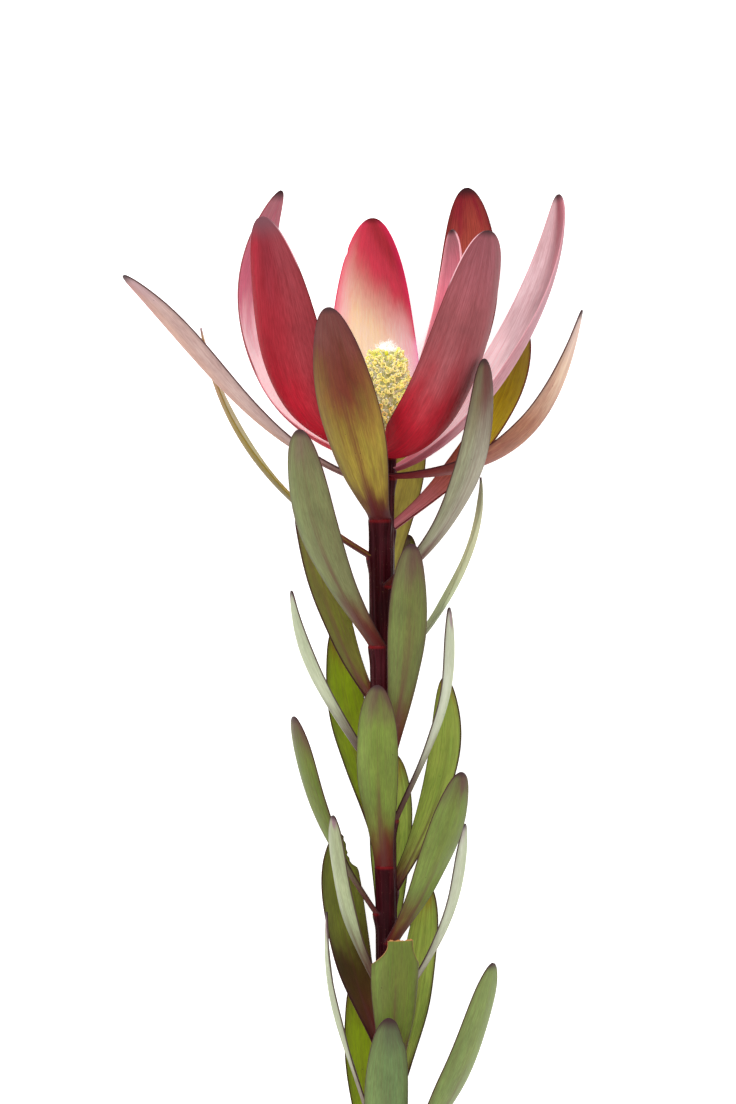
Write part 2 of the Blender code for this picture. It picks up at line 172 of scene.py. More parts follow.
class Hue(Enum):
    """The paints of the plant, as display values from 0 to 255."""

    BARK = (48, 8, 14)
    BARK_LIGHT = (92, 32, 42)
    BARK_DARK = (26, 8, 12)
    BARK_RED = (118, 20, 24)
    CORK = (150, 118, 92)
    WOOD = (222, 208, 168)
    PITH = (198, 172, 124)
    SCARLET = (202, 34, 56)
    CRIMSON = (188, 26, 46)
    GARNET = (154, 42, 52)
    WINE = (146, 38, 52)
    MAROON = (104, 30, 34)
    DARK_MAROON = (66, 24, 30)
    DUSK = (132, 48, 58)
    ASH_ROSE = (158, 110, 118)
    MAUVE = (148, 84, 92)
    DUSTY_RED = (152, 82, 86)
    ROSE = (214, 84, 108)
    HOT_PINK = (255, 170, 200)
    ORCHID = (232, 138, 158)
    PINK = (240, 160, 174)
    BLUSH = (248, 196, 204)
    SILVER_PINK = (206, 168, 176)
    STALK_PINK = (222, 146, 154)
    MILK_PINK = (254, 236, 238)
    CREAM = (255, 250, 210)
    BRICK = (198, 94, 76)
    DARK_BRICK = (150, 60, 54)
    SALMON = (212, 122, 98)
    SAND_PINK = (232, 208, 194)
    TAN = (176, 126, 96)
    MAUVE_GREY = (152, 122, 128)
    MAUVE_SAND = (182, 134, 132)
    DIM_MAUVE = (118, 74, 82)
    CLAY = (176, 102, 84)
    OLIVE_BROWN = (104, 46, 24)
    OLIVE = (142, 120, 36)
    OLIVE_YELLOW = (168, 148, 54)
    LIME_OLIVE = (204, 184, 40)
    LIT_GREEN = (150, 170, 26)
    LEAF = (116, 136, 54)
    # A painted cool sheen, laid on the left half of green leaves.
    SHEEN_GREEN = (130, 152, 86)
    MOSS = (104, 120, 42)
    DEEP_GREEN = (88, 90, 20)
    GREY_GREEN = (142, 142, 110)
    DULL_GREEN = (118, 122, 78)
    PALE_GREEN = (194, 202, 170)
    # A near-white painted sheen, for light grazing leaves seen edge-on.
    FROST_SHEEN = (226, 228, 212)
    ASH_GREEN = (172, 166, 144)
    SAGE = (174, 184, 142)
    MAGENTA = (206, 40, 92)
    DULL_PINK = (172, 120, 130)
    MAUVE_PINK = (198, 114, 136)
    PALE_SILVER = (166, 136, 140)
    DUSTY_OLIVE = (112, 98, 76)
    DUSTY_BROWN = (132, 84, 74)
    SOFT_GREEN = (122, 140, 74)
    OLIVE_GREEN = (136, 138, 56)
    SHADE_GREEN = (120, 128, 46)
    SHADE_BROWN = (84, 64, 20)
    BLUE_GREEN = (108, 132, 80)
    BROWN_GREEN = (100, 108, 50)
    SUN_GREEN = (184, 204, 96)
    STRAW_GREEN = (190, 184, 92)
    PURPLE_GREY = (92, 72, 54)
    PURPLE_BROWN = (104, 58, 52)
    STALK_RED = (114, 26, 26)
    TIP_DARK = (62, 34, 38)
    BITE_BROWN = (196, 132, 78)
    ROSE_RED = (192, 60, 78)
    LILAC = (232, 150, 190)
    LILAC_WHITE = (252, 222, 240)
    # A painted silver highlight.
    SILVER_HIGHLIGHT = (196, 186, 190)
    WARM_GREY = (202, 164, 146)
    SALMON_RED = (206, 112, 88)
    BEIGE = (226, 198, 172)
    PALE_STRAW = (196, 196, 154)
    DARK_OLIVE = (120, 106, 44)
    DUSKY_GREEN = (84, 98, 66)
    FLORET_YELLOW = (250, 240, 126)
    FLORET_GOLD = (240, 200, 84)
    FLORET_GREEN = (200, 206, 88)
    # A dark olive throat, darkened as painted shade in each floret's hollow.
    THROAT_SHADE = (84, 66, 18)
    CORE_GREEN = (160, 158, 92)
    BUD_GREEN = (206, 214, 40)
    WOOL = (252, 250, 242)

    @property
    def linear(self) -> Colour:
        """Gives the colour as linear red, green, blue and alpha, by the sRGB curve."""
        parts = [channel / 255.0 for channel in self.value]
        bent = [c / 12.92 if c <= 0.04045 else ((c + 0.055) / 1.055) ** 2.4 for c in parts]
        return (*bent, 1.0)


class Bench:
    """Lays shader nodes into one tree and joins them.

    A value that goes into a node is an output socket, a hue, a number or several numbers.
    """

    def __init__(self, tree: bpy.types.NodeTree) -> None:
        """Keeps the tree that the nodes go into."""
        self.tree = tree

    @classmethod
    def material(cls, name: str) -> tuple[Material, Bench, bpy.types.Node]:
        """Starts a material.

        Args:
            name: The material's name.

        Returns:
            The material, its bench and its Principled shader.
        """
        material = bpy.data.materials.new(name)
        material.use_nodes = True
        return material, cls(material.node_tree), material.node_tree.nodes["Principled BSDF"]

    def add(self, kind: str, **settings: object) -> bpy.types.Node:
        """Adds a node.

        Args:
            kind: The node's type name.
            settings: Properties to set on it.

        Returns:
            The node.
        """
        node = self.tree.nodes.new(kind)
        for name, value in settings.items():
            setattr(node, name, value)
        return node

    def feed(self, socket: Socket, value: object) -> None:
        """Joins a socket to an input, or sets the input to a plain value.

        Args:
            socket: The input.
            value: What goes into it.
        """
        if isinstance(value, Socket):
            self.tree.links.new(value, socket)
        else:
            socket.default_value = value.linear if isinstance(value, Hue) else value

    def fill(self, node: bpy.types.Node, **inputs: object) -> bpy.types.Node:
        """Feeds several inputs of a node.

        Args:
            node: The node.
            inputs: Values by input name, with _ for each space.

        Returns:
            The same node.
        """
        for name, value in inputs.items():
            self.feed(node.inputs[name.replace("_", " ")], value)
        return node

    def make(self, kind: str, *values: object, **settings: object) -> Socket:
        """Adds a node and feeds its first inputs in order.

        Args:
            kind: The node's type name.
            values: Values for its first inputs.
            settings: Properties to set on it.

        Returns:
            Its first output.
        """
        node = self.add(kind, **settings)
        for socket, value in zip(node.inputs, values):
            self.feed(socket, value)
        return node.outputs[0]

    def math(self, operation: str, *values: object) -> Socket:
        """Adds a Math node."""
        return self.make("ShaderNodeMath", *values, operation=operation)

    def times(self, first: object, second: object) -> Socket:
        """Multiplies two numbers."""
        return self.math("MULTIPLY", first, second)

    def scale(self, value: object, factor: object, start: object) -> Socket:
        """Multiplies a number by a factor and adds it to a start."""
        return self.math("MULTIPLY_ADD", value, factor, start)

    def ease(self, value: object, low: object, high: object) -> Socket:
        """Adds a smooth step from 0 at low to 1 at high."""
        return self.make("ShaderNodeMapRange", value, low, high, 0.0, 1.0,
                         interpolation_type="SMOOTHSTEP")

    def fall(self, value: object, low: object, high: object) -> Socket:
        """Adds a smooth step from 1 at low to 0 at high."""
        return self.math("SUBTRACT", 1.0, self.ease(value, low, high))

    def past_middle(self, share: Socket) -> Socket:
        """Gives how far a share is past one half."""
        return self.math("SUBTRACT", share, 0.5)

    def off_middle(self, share: Socket) -> Socket:
        """Gives how far a share is from one half, on either side."""
        return self.math("ABSOLUTE", self.past_middle(share))

    def point(self, x: object, y: object, z: object) -> Socket:
        """Joins three numbers into a vector."""
        return self.make("ShaderNodeCombineXYZ", x, y, z)

    def mix(self, share: object, first: object, second: object, mode: str = "MIX") -> Socket:
        """Adds a colour mix.

        Args:
            share: How much of the second colour, from 0 to 1.
            first: The colour at 0.
            second: The colour at 1.
            mode: The blend type.

        Returns:
            The mixed colour.
        """
        node = self.add("ShaderNodeMix", data_type="RGBA", blend_type=mode)
        for index, value in ((0, share), (6, first), (7, second)):
            self.feed(node.inputs[index], value)
        return node.outputs[2]

    def tint(self, colour: object, hue: object, mask: object, share: object) -> Socket:
        """Lays a hue over a colour, by a share of a mask."""
        return self.mix(self.times(mask, share), colour, hue)

    def noise(self, place: Socket, scale: float, detail: float) -> Socket:
        """Adds a noise texture with values from 0 to 1."""
        node = self.add("ShaderNodeTexNoise")
        return self.fill(node, Vector=place, Scale=scale, Detail=detail).outputs[0]

    def cloud(self, place: Socket, scale: float, detail: float, low: float,
              high: float) -> Socket:
        """Adds a noise texture that rises from 0 at low to 1 at high."""
        return self.ease(self.noise(place, scale, detail), low, high)

    def bump(self, height: Socket, strength: float, depth: float) -> Socket:
        """Adds a bump and gives its normal, with the depth in millimetres."""
        node = self.add("ShaderNodeBump")
        return self.fill(node, Strength=strength, Distance=depth * MM, Height=height).outputs[0]

    def chart(self, uv_map: str) -> tuple[Socket, Socket]:
        """Reads a UV map.

        Args:
            uv_map: The map's name.

        Returns:
            Its two numbers.
        """
        parts = self.add("ShaderNodeSeparateXYZ")
        self.feed(parts.inputs[0], self.add("ShaderNodeUVMap", uv_map=uv_map).outputs[0])
        return parts.outputs[0], parts.outputs[1]

    def spot(self) -> Socket:
        """Reads the place on the object."""
        return self.add("ShaderNodeTexCoord").outputs["Object"]

    def call(self, group: bpy.types.NodeTree, **inputs: object) -> Sockets:
        """Places a node group and gives its outputs."""
        return self.fill(self.add("ShaderNodeGroup", node_tree=group), **inputs).outputs


def numbers(*labels: str) -> dict[str, str]:
    """Names a group's number sockets."""
    return dict.fromkeys(labels, "NodeSocketFloat")


def colours(*labels: str) -> dict[str, str]:
    """Names a group's colour sockets."""
    return dict.fromkeys(labels, "NodeSocketColor")


class Effects:
    """The shader groups that several finishes share. Their lengths are millimetres."""

    # Cells a millimetre across and along, octaves, and where the value starts to rise.
    FIBRES = {"Grain": (2.9, 0.34, 2.0, 0.28), "Lines": (1.5, 0.045, 3.0, 0.3),
              "Clouds": (0.17, 0.06, 3.0, 0.25)}
    FIBRE_FACE_STEP = 37.0
    SPECK_FACE_STEP = 11.0
    SPECK_STRETCH = 0.7
    SPECK_CELLS = 0.55
    SPECK_SIZES = (0.09, 0.05)
    RIB_FAN = 2.0
    RIB_FAN_END = 0.3
    RIB_FADE_START = 0.05
    LINE_FULL = 0.45

    def __init__(self) -> None:
        """Builds each group once."""
        self.zones = self._zones()
        self.fibres = self._fibres()
        self.specks = self._specks()
        self.tones = self._tones()
        self.rib = self._rib()
        self.edge = self._edge()

    def _start(self, name: str, inputs: dict[str, str],
               outputs: dict[str, str]) -> tuple[Bench, Sockets, bpy.types.Node]:
        """Starts a group.

        Args:
            name: The group's name.
            inputs: Socket kinds by input name.
            outputs: Socket kinds by output name.

        Returns:
            The bench, the values given to the group, and the group's output node.
        """
        tree = bpy.data.node_groups.new(name, "ShaderNodeTree")
        for way, sockets in (("INPUT", inputs), ("OUTPUT", outputs)):
            for label, kind in sockets.items():
                tree.interface.new_socket(label, in_out=way, socket_type=kind)
        bench = Bench(tree)
        return bench, bench.add("NodeGroupInput").outputs, bench.add("NodeGroupOutput")

    def _zones(self) -> bpy.types.NodeTree:
        """Reads where on a blade a point lies.

        Returns:
            A group that gives the share along and across, the inner face, and the distances
            from the margin and the foot.
        """
        outputs = numbers("Along", "Across", "Inward", "Edge", "Reach")
        bench, _, out = self._start("blade_zones", {}, outputs)
        around, along = bench.chart("BladeMap")
        edge, reach = bench.chart("SizeMap")
        bench.fill(out, Along=along, Across=bench.math("PINGPONG", around, 1.0),
                   Inward=bench.math("GREATER_THAN", around, 1.0), Edge=edge, Reach=reach)
        return bench.tree

    def _fibres(self) -> bpy.types.NodeTree:
        """Draws the fine lengthwise lines, grain and soft clouds of a leathery blade.

        Returns:
            A group with three values from 0 to 1.
        """
        bench, given, out = self._start(
            "fibre_lines", numbers("Across", "Reach", "Inward", "Width", "Seed"),
            numbers("Lines", "Clouds", "Grain"))
        span = bench.times(given["Across"], given["Width"])
        side = bench.scale(given["Inward"], self.FIBRE_FACE_STEP, given["Seed"])
        for label, (across, along, octaves, low) in self.FIBRES.items():
            place = bench.point(bench.times(span, across), bench.times(given["Reach"], along),
                                side)
            bench.feed(out.inputs[label], bench.cloud(place, 1.0, octaves, low, 1.0 - low))
        return bench.tree

    def _specks(self) -> bpy.types.NodeTree:
        """Scatters small dark specks.

        Returns:
            A group with one mask.
        """
        inputs = numbers("Across", "Reach", "Inward", "Width", "Seed", "Share")
        bench, given, out = self._start("dark_specks", inputs, numbers("Mask"))
        span = bench.times(given["Across"], given["Width"])
        side = bench.scale(given["Inward"], self.SPECK_FACE_STEP, given["Seed"])
        place = bench.point(span, bench.times(given["Reach"], self.SPECK_STRETCH), side)
        cells = bench.add("ShaderNodeTexVoronoi", voronoi_dimensions="3D", feature="F1")
        bench.fill(cells, Vector=place, Scale=self.SPECK_CELLS)
        chance = bench.add("ShaderNodeSeparateColor")
        bench.feed(chance.inputs[0], cells.outputs["Color"])
        kept = bench.math("LESS_THAN", chance.outputs[0], given["Share"])
        size = bench.scale(chance.outputs[1], *self.SPECK_SIZES)
        dot = bench.fall(cells.outputs["Distance"], bench.times(size, 0.5), size)
        bench.fill(out, Mask=bench.times(dot, kept))
        return bench.tree

    def _tones(self) -> bpy.types.NodeTree:
        """Grades four colours from a blade's foot to its tip.

        Returns:
            A group with one colour.
        """
        inputs = numbers("Along", "Low At", "High At") | colours("Foot", "Low", "High", "Tip")
        bench, given, out = self._start("length_tones", inputs, colours("Color"))
        colour = given["Foot"]
        stops = (0.0, given["Low At"], given["High At"], 1.0)
        for label, low, high in zip(("Low", "High", "Tip"), stops, stops[1:]):
            colour = bench.mix(bench.ease(given["Along"], low, high), colour, given[label])
        bench.fill(out, Color=colour)
        return bench.tree

    def _rib(self) -> bpy.types.NodeTree:
        """Marks the middle streak that fans out at the foot and fades up the blade.

        Returns:
            A group with one mask.
        """
        inputs = numbers("Across", "Along", "Width", "Spread", "Fade")
        bench, given, out = self._start("rib_streak", inputs, numbers("Mask"))
        off = bench.times(bench.off_middle(given["Across"]), given["Width"])
        foot = bench.fall(given["Along"], 0.0, self.RIB_FAN_END)
        reach = bench.times(given["Spread"], bench.scale(foot, self.RIB_FAN, 1.0))
        fade = bench.fall(given["Along"], self.RIB_FADE_START, given["Fade"])
        bench.fill(out, Mask=bench.times(bench.fall(off, 0.0, reach), fade))
        return bench.tree

    def _edge(self) -> bpy.types.NodeTree:
        """Marks the thin line round a blade's margin and the hard point at its tip.

        Returns:
            A group with the masks Line, Shade and Point.
        """
        inputs = numbers("Edge", "Along", "Thick", "Shade Width", "Point At", "Point Full")
        bench, given, out = self._start("margin_line", inputs,
                                        numbers("Line", "Shade", "Point"))
        edge, thick = given["Edge"], given["Thick"]
        bench.fill(out, Line=bench.fall(edge, bench.times(thick, self.LINE_FULL), thick),
                   Shade=bench.fall(edge, 0.0, given["Shade Width"]),
                   Point=bench.ease(given["Along"], given["Point At"], given["Point Full"]))
        return bench.tree


@dataclass(frozen=True)
class FaceTint:
    """The colours of one face of a blade, from foot to tip."""

    foot: Hue
    low: Hue
    high: Hue
    tip: Hue
    low_at: float = 0.2
    high_at: float = 0.65
    sides: Hue | None = None
    side_share: float = 0.0
    side_from: float = 0.15
    side_until: float = 1.6
    # left and right lay a hue over one half of the face; finishes use them for colour and for
    # painted sheen or highlights.
    left: Hue | None = None
    left_share: float = 0.0
    right: Hue | None = None
    right_share: float = 0.0

    MIDDLE = 0.5
    SIDE_FADE = 0.3
    LEFT_FULL = 0.16
    RIGHT_FULL = 0.84

    def paint(self, bench: Bench, tones: bpy.types.NodeTree, along: Socket,
              across: Socket) -> Socket:
        """Lays the face's colours.

        Args:
            bench: The material's bench.
            tones: The group that grades four colours.
            along: The share from foot to tip.
            across: The share from margin to margin.

        Returns:
            The face's colour.
        """
        colour = bench.call(tones, Along=along, Low_At=self.low_at, High_At=self.high_at,
                            Foot=self.foot, Low=self.low, High=self.high, Tip=self.tip)[0]
        if not (self.sides or self.left or self.right):
            return colour
        below = bench.times(bench.fall(along, self.side_until - self.SIDE_FADE, self.side_until),
                            bench.ease(along, 0.0, self.low_at))
        off = bench.off_middle(across) if self.sides else None
        bands = ((self.sides, self.side_share, off, self.side_from, self.MIDDLE),
                 (self.left, self.left_share, across, self.MIDDLE, self.LEFT_FULL),
                 (self.right, self.right_share, across, self.MIDDLE, self.RIGHT_FULL))
        for hue, most, place, start, end in bands:
            if hue:
                share = bench.times(bench.ease(place, start, end), most)
                colour = bench.tint(colour, hue, share, below)
        return colour


@dataclass(frozen=True)
class BladeFinish:
    """The finish of a leathery blade: two faces, margin, rib, lines, specks, glow and a painted
    glow of the inner face.
    """

    outer: FaceTint
    inner: FaceTint
    edge: Hue = Hue.DARK_MAROON
    edge_thick: float = 0.42
    edge_share: float = 0.85
    tip_edge: Hue | None = None
    tip_edge_at: float = 0.78
    tip_shade: bool = False
    shade_width: float = 2.2
    shade_share: float = 0.3
    point: Hue = Hue.TIP_DARK
    point_at: float = 0.965
    point_full: float = 1.0
    rib: Hue = Hue.PURPLE_BROWN
    rib_share: float = 0.55
    rib_spread: float = 1.1
    rib_fade: float = 0.7
    lines: Hue = Hue.PURPLE_BROWN
    line_share: float = 0.22
    cloud_share: float = 0.3
    grain_share: float = 0.2
    speck_share: float = 0.12
    slant: float = 0.0
    waver: float = 0.12
    glow: float = 0.35
    # lift: painted light; the inner face emits its own colour at this strength, lightening it in
    # the shade of the cup.
    lift: float = 0.0
    roughness: float = 0.5
    specular: float = 0.2
    sheen: float = 0.03

    CLOUD_TONES = (0.25, 0.75)
    GRAIN_TONES = (0.2, 0.8)
    RIB_TEXTURE = (0.5, 0.6)
    SPECK_DEPTH = 0.75
    TIP_EDGE_BLEND = 0.03
    ROUGH_SPREAD = 0.14
    SHEEN_ROUGHNESS = 0.6
    BUMP_STRENGTH = 0.5
    BUMP_DEPTH = 0.06

    def material(self, name: str, effects: Effects, width: float, seed: float) -> Material:
        """Builds the material of one blade.

        Args:
            name: The material's name.
            effects: The shared shader groups.
            width: The blade's widest, in millimetres.
            seed: A number that moves its noise.

        Returns:
            The material.
        """
        material, bench, shader = Bench.material(name)
        zone = bench.call(effects.zones)
        place = {"Across": zone["Across"], "Reach": zone["Reach"], "Inward": zone["Inward"],
                 "Width": width, "Seed": seed}
        fibre = bench.call(effects.fibres, **place)
        colour = self._faces(bench, effects, zone, fibre)
        rib = bench.call(effects.rib, Across=zone["Across"], Along=zone["Along"], Width=width,
                         Spread=self.rib_spread, Fade=self.rib_fade)[0]
        rib = bench.times(rib, bench.scale(fibre["Lines"], *self.RIB_TEXTURE))
        speck = bench.call(effects.specks, **place, Share=self.speck_share)[0]
        for hue, mask, share in ((self.rib, rib, self.rib_share),
                                 (self.lines, fibre["Lines"], self.line_share),
                                 (Hue.TIP_DARK, speck, self.SPECK_DEPTH)):
            colour = bench.tint(colour, hue, mask, share)
        colour = self._margin(bench, effects, zone, colour)
        # Painted glow: the inner face emits its own colour, lightening it where it sits in shade.
        if self.lift:
            painted_glow = bench.mix(zone["Inward"], grey(0.0), colour)
            bench.fill(shader, Emission_Color=painted_glow, Emission_Strength=self.lift)
        low_rough = self.roughness - 0.5 * self.ROUGH_SPREAD
        normal = bench.bump(fibre["Lines"], self.BUMP_STRENGTH, self.BUMP_DEPTH)
        bench.fill(shader, Base_Color=colour, Normal=normal, Sheen_Weight=self.sheen,
                   Roughness=bench.scale(fibre["Clouds"], self.ROUGH_SPREAD, low_rough),
                   Specular_IOR_Level=self.specular, Sheen_Roughness=self.SHEEN_ROUGHNESS)
        through = bench.fill(bench.add("ShaderNodeBsdfTranslucent"), Color=colour, Normal=normal)
        both = bench.make("ShaderNodeMixShader", self.glow, shader.outputs[0],
                          through.outputs[0])
        bench.fill(material.node_tree.nodes["Material Output"], Surface=both)
        return material

    def _faces(self, bench: Bench, effects: Effects, zone: Sockets, fibre: Sockets) -> Socket:
        """Lays the colours of both faces, with their clouds and grain.

        Args:
            bench: The material's bench.
            effects: The shared shader groups.
            zone: Where on the blade a point lies.
            fibre: The lines, clouds and grain.

        Returns:
            The colour.
        """
        along = bench.scale(bench.past_middle(fibre["Clouds"]), self.waver, zone["Along"])
        along = bench.scale(bench.past_middle(zone["Across"]), self.slant, along)
        outer = self.outer.paint(bench, effects.tones, along, zone["Across"])
        inner = self.inner.paint(bench, effects.tones, along, zone["Across"])
        colour = bench.mix(zone["Inward"], outer, inner)
        for mask, share, (dark, light) in ((fibre["Clouds"], self.cloud_share, self.CLOUD_TONES),
                                           (fibre["Grain"], self.grain_share, self.GRAIN_TONES)):
            tone = bench.mix(mask, grey(dark), grey(light))
            colour = bench.mix(share, colour, tone, "OVERLAY")
        return colour

    def _margin(self, bench: Bench, effects: Effects, zone: Sockets, colour: Socket) -> Socket:
        """Lays the margin's line and shade and the hard point over a colour.

        Args:
            bench: The material's bench.
            effects: The shared shader groups.
            zone: Where on the blade a point lies.
            colour: The blade's colour.

        Returns:
            The colour with its margin.
        """
        margin = bench.call(effects.edge, Edge=zone["Edge"], Along=zone["Along"],
                            Thick=self.edge_thick, Shade_Width=self.shade_width,
                            Point_At=self.point_at, Point_Full=self.point_full)
        rim = self.edge
        if self.tip_edge:
            high = bench.ease(zone["Along"], self.tip_edge_at - self.TIP_EDGE_BLEND,
                              self.tip_edge_at + self.TIP_EDGE_BLEND)
            rim = bench.mix(high, self.edge, self.tip_edge)
        colour = bench.tint(colour, rim if self.tip_shade else self.edge, margin["Shade"],
                            self.shade_share)
        colour = bench.tint(colour, rim, margin["Line"], self.edge_share)
        return bench.mix(margin["Point"], colour, self.point)


def leaf_finish(outer: Hue, inner: Hue, tip: Hue, **changes: object) -> BladeFinish:
    """Gives the usual finish of a stem leaf, with changes.

    Args:
        outer: The middle of the outer face.
        inner: The middle of the inner face.
        tip: Both faces near the tip.
        changes: Other fields of BladeFinish.

    Returns:
        The finish.
    """
    # The outer face's left half carries a painted sheen.
    outside = FaceTint(Hue.STALK_RED, outer, outer, tip, 0.36, 0.78, left=Hue.SHEEN_GREEN,
                       left_share=0.28)
    inside = FaceTint(Hue.STALK_RED, inner, inner, tip, 0.26, 0.84)
    usual = {"rib_share": 0.85, "rib_spread": 1.7, "rib_fade": 0.8, "glow": 0.25}
    return BladeFinish(outside, inside, **(usual | changes))


RED_BACK = FaceTint(Hue.SCARLET, Hue.WINE, Hue.DUSK, Hue.DUSK)
ROSE_CUP = FaceTint(Hue.CREAM, Hue.BLUSH, Hue.ROSE, Hue.WINE, 0.35, 0.8, Hue.HOT_PINK, 0.6)
GREY_STALK = FaceTint(Hue.STALK_RED, Hue.SAGE, Hue.PALE_STRAW, Hue.GREY_GREEN, 0.3, 0.7)


class Finish(Enum):
    """The finishes of the blades, each named for the blade or leaves that wear it."""

    FRONT_LEFT = BladeFinish(
        FaceTint(Hue.SCARLET, Hue.CRIMSON, Hue.GARNET, Hue.DUSK, 0.25, 0.62,
                 left=Hue.SCARLET, left_share=0.35, right=Hue.DUSTY_RED, right_share=0.35),
        ROSE_CUP,
        edge=Hue.MAROON, tip_edge=Hue.BLUSH, tip_edge_at=0.86, rib=Hue.MAROON, rib_share=0.3,
        rib_fade=0.9, lines=Hue.MAROON, line_share=0.28, speck_share=0.08, glow=0.2,
        specular=0.02, grain_share=0.22, sheen=0.0, point=Hue.DIM_MAUVE, point_at=0.92)
    FRONT_RIGHT = BladeFinish(
        FaceTint(Hue.SCARLET, Hue.CRIMSON, Hue.DUSTY_RED, Hue.MAUVE, 0.25, 0.64),
        ROSE_CUP,
        edge=Hue.MAROON, tip_edge=Hue.BLUSH, tip_edge_at=0.8, rib=Hue.WINE, rib_share=0.25,
        lines=Hue.MAROON, line_share=0.3, speck_share=0.05, glow=0.2, specular=0.14,
        sheen=0.0)
    # The cream middle of its inner face is painted light shining through from behind, and lift
    # makes the face glow.
    BACK_MIDDLE = BladeFinish(
        RED_BACK,
        FaceTint(Hue.MILK_PINK, Hue.CREAM, Hue.ROSE_RED, Hue.GARNET, 0.51, 0.88,
                 Hue.HOT_PINK, 0.7, 0.2, 0.86, left=Hue.LILAC_WHITE, left_share=0.5),
        edge=Hue.LILAC, tip_edge=Hue.MAGENTA, tip_edge_at=0.56, tip_shade=True,
        rib=Hue.ROSE, rib_share=0.1, lines=Hue.ROSE, line_share=0.1, speck_share=0.05,
        glow=0.6, lift=0.88, specular=0.1, sheen=0.0, slant=-0.3, waver=0.05,
        point=Hue.MAROON, point_at=0.975, grain_share=0.18, shade_width=3.6,
        shade_share=0.5)
    BACK_LEFT = BladeFinish(
        RED_BACK,
        FaceTint(Hue.MILK_PINK, Hue.MILK_PINK, Hue.MAUVE_PINK, Hue.ASH_ROSE, 0.46, 0.74),
        edge=Hue.BLUSH, tip_edge=Hue.DUSTY_RED, tip_edge_at=0.42, rib=Hue.ROSE,
        rib_share=0.15, lines=Hue.ROSE, line_share=0.16, speck_share=0.04, glow=0.55,
        lift=0.82, specular=0.1, sheen=0.0, shade_share=0.05)
    BACK_RIGHT = BladeFinish(
        RED_BACK,
        FaceTint(Hue.ROSE, Hue.BRICK, Hue.BRICK, Hue.WINE, 0.3, 0.8, Hue.DARK_BRICK, 0.45),
        edge=Hue.MAROON, rib=Hue.BRICK, rib_share=0.2, rib_fade=1.0, lines=Hue.MAROON,
        line_share=0.4, speck_share=0.04, glow=0.45, lift=0.12, specular=0.1, sheen=0.0)
    INNER_RIGHT = BladeFinish(
        FaceTint(Hue.BLUSH, Hue.PINK, Hue.PINK, Hue.STALK_PINK, 0.3, 0.7),
        FaceTint(Hue.CREAM, Hue.DULL_PINK, Hue.ORCHID, Hue.ASH_ROSE, 0.3, 0.7),
        edge=Hue.BLUSH, edge_thick=0.35, rib=Hue.ROSE, rib_share=0.15, lines=Hue.MAUVE,
        line_share=0.3, speck_share=0.02, glow=0.45, lift=0.15, specular=0.12, sheen=0.0)
    # The milk-pink band over one half of its inner face is a painted white sheen, and lift makes
    # the face glow.
    RIGHT = BladeFinish(
        FaceTint(Hue.MAUVE_PINK, Hue.SILVER_PINK, Hue.SILVER_PINK, Hue.MAUVE, 0.3, 0.72),
        FaceTint(Hue.PINK, Hue.MILK_PINK, Hue.PALE_SILVER, Hue.MAUVE, 0.42, 0.64,
                 left=Hue.PINK, left_share=0.25, right=Hue.MILK_PINK, right_share=0.45),
        edge=Hue.BLUSH, edge_thick=0.35, edge_share=0.4, rib=Hue.ORCHID, rib_share=0.2,
        lines=Hue.MAUVE, line_share=0.3, glow=0.45, lift=0.46, specular=0.15, sheen=0.0,
        shade_share=0.05)
    OUTER_RIGHT = BladeFinish(
        FaceTint(Hue.GARNET, Hue.TAN, Hue.BEIGE, Hue.SAND_PINK, 0.56, 0.8),
        FaceTint(Hue.GARNET, Hue.TAN, Hue.BEIGE, Hue.SAND_PINK, 0.56, 0.8,
                 right=Hue.SALMON, right_share=0.3),
        edge_thick=0.55, rib=Hue.DUSK, rib_share=0.75, rib_fade=0.85, lines=Hue.DUSK,
        line_share=0.34, speck_share=0.1, waver=0.05, lift=0.06)
    # Its outer face's right half carries a painted silver highlight.
    OUTER_LEFT = BladeFinish(
        FaceTint(Hue.STALK_RED, Hue.WARM_GREY, Hue.WARM_GREY, Hue.MAUVE_SAND, 0.3, 0.84,
                 left=Hue.SALMON_RED, left_share=0.4, right=Hue.SILVER_HIGHLIGHT,
                 right_share=0.4),
        FaceTint(Hue.STALK_RED, Hue.WARM_GREY, Hue.WARM_GREY, Hue.MAUVE_SAND, 0.3, 0.84),
        edge_thick=0.55, shade_share=0.2, rib=Hue.DUSK, rib_share=0.2, lines=Hue.DUSK,
        line_share=0.2, speck_share=0.1, sheen=0.05)
    FRONT_MIDDLE = BladeFinish(
        FaceTint(Hue.MAROON, Hue.OLIVE_YELLOW, Hue.OLIVE_BROWN, Hue.PURPLE_BROWN, 0.34, 0.7,
                 Hue.OLIVE_YELLOW, 0.4, 0.2, 0.9, left=Hue.OLIVE, left_share=0.4),
        FaceTint(Hue.ROSE, Hue.OLIVE_YELLOW, Hue.OLIVE, Hue.PURPLE_BROWN, 0.3, 0.8),
        rib=Hue.MAROON, rib_share=0.95, rib_spread=2.8, rib_fade=0.85, lines=Hue.MAROON,
        line_share=0.36, speck_share=0.14, glow=0.2, shade_share=0.4, cloud_share=0.45)
    LOW_RIGHT = BladeFinish(
        FaceTint(Hue.STALK_PINK, Hue.CLAY, Hue.OLIVE, Hue.PURPLE_BROWN, 0.3, 0.6),
        FaceTint(Hue.STALK_PINK, Hue.CLAY, Hue.LIME_OLIVE, Hue.OLIVE_YELLOW, 0.42, 0.62),
        edge=Hue.MAROON, rib=Hue.DUSTY_RED, rib_share=0.4, lines=Hue.OLIVE_BROWN,
        line_share=0.26, cloud_share=0.4, glow=0.5, lift=0.38, specular=0.1, sheen=0.0)
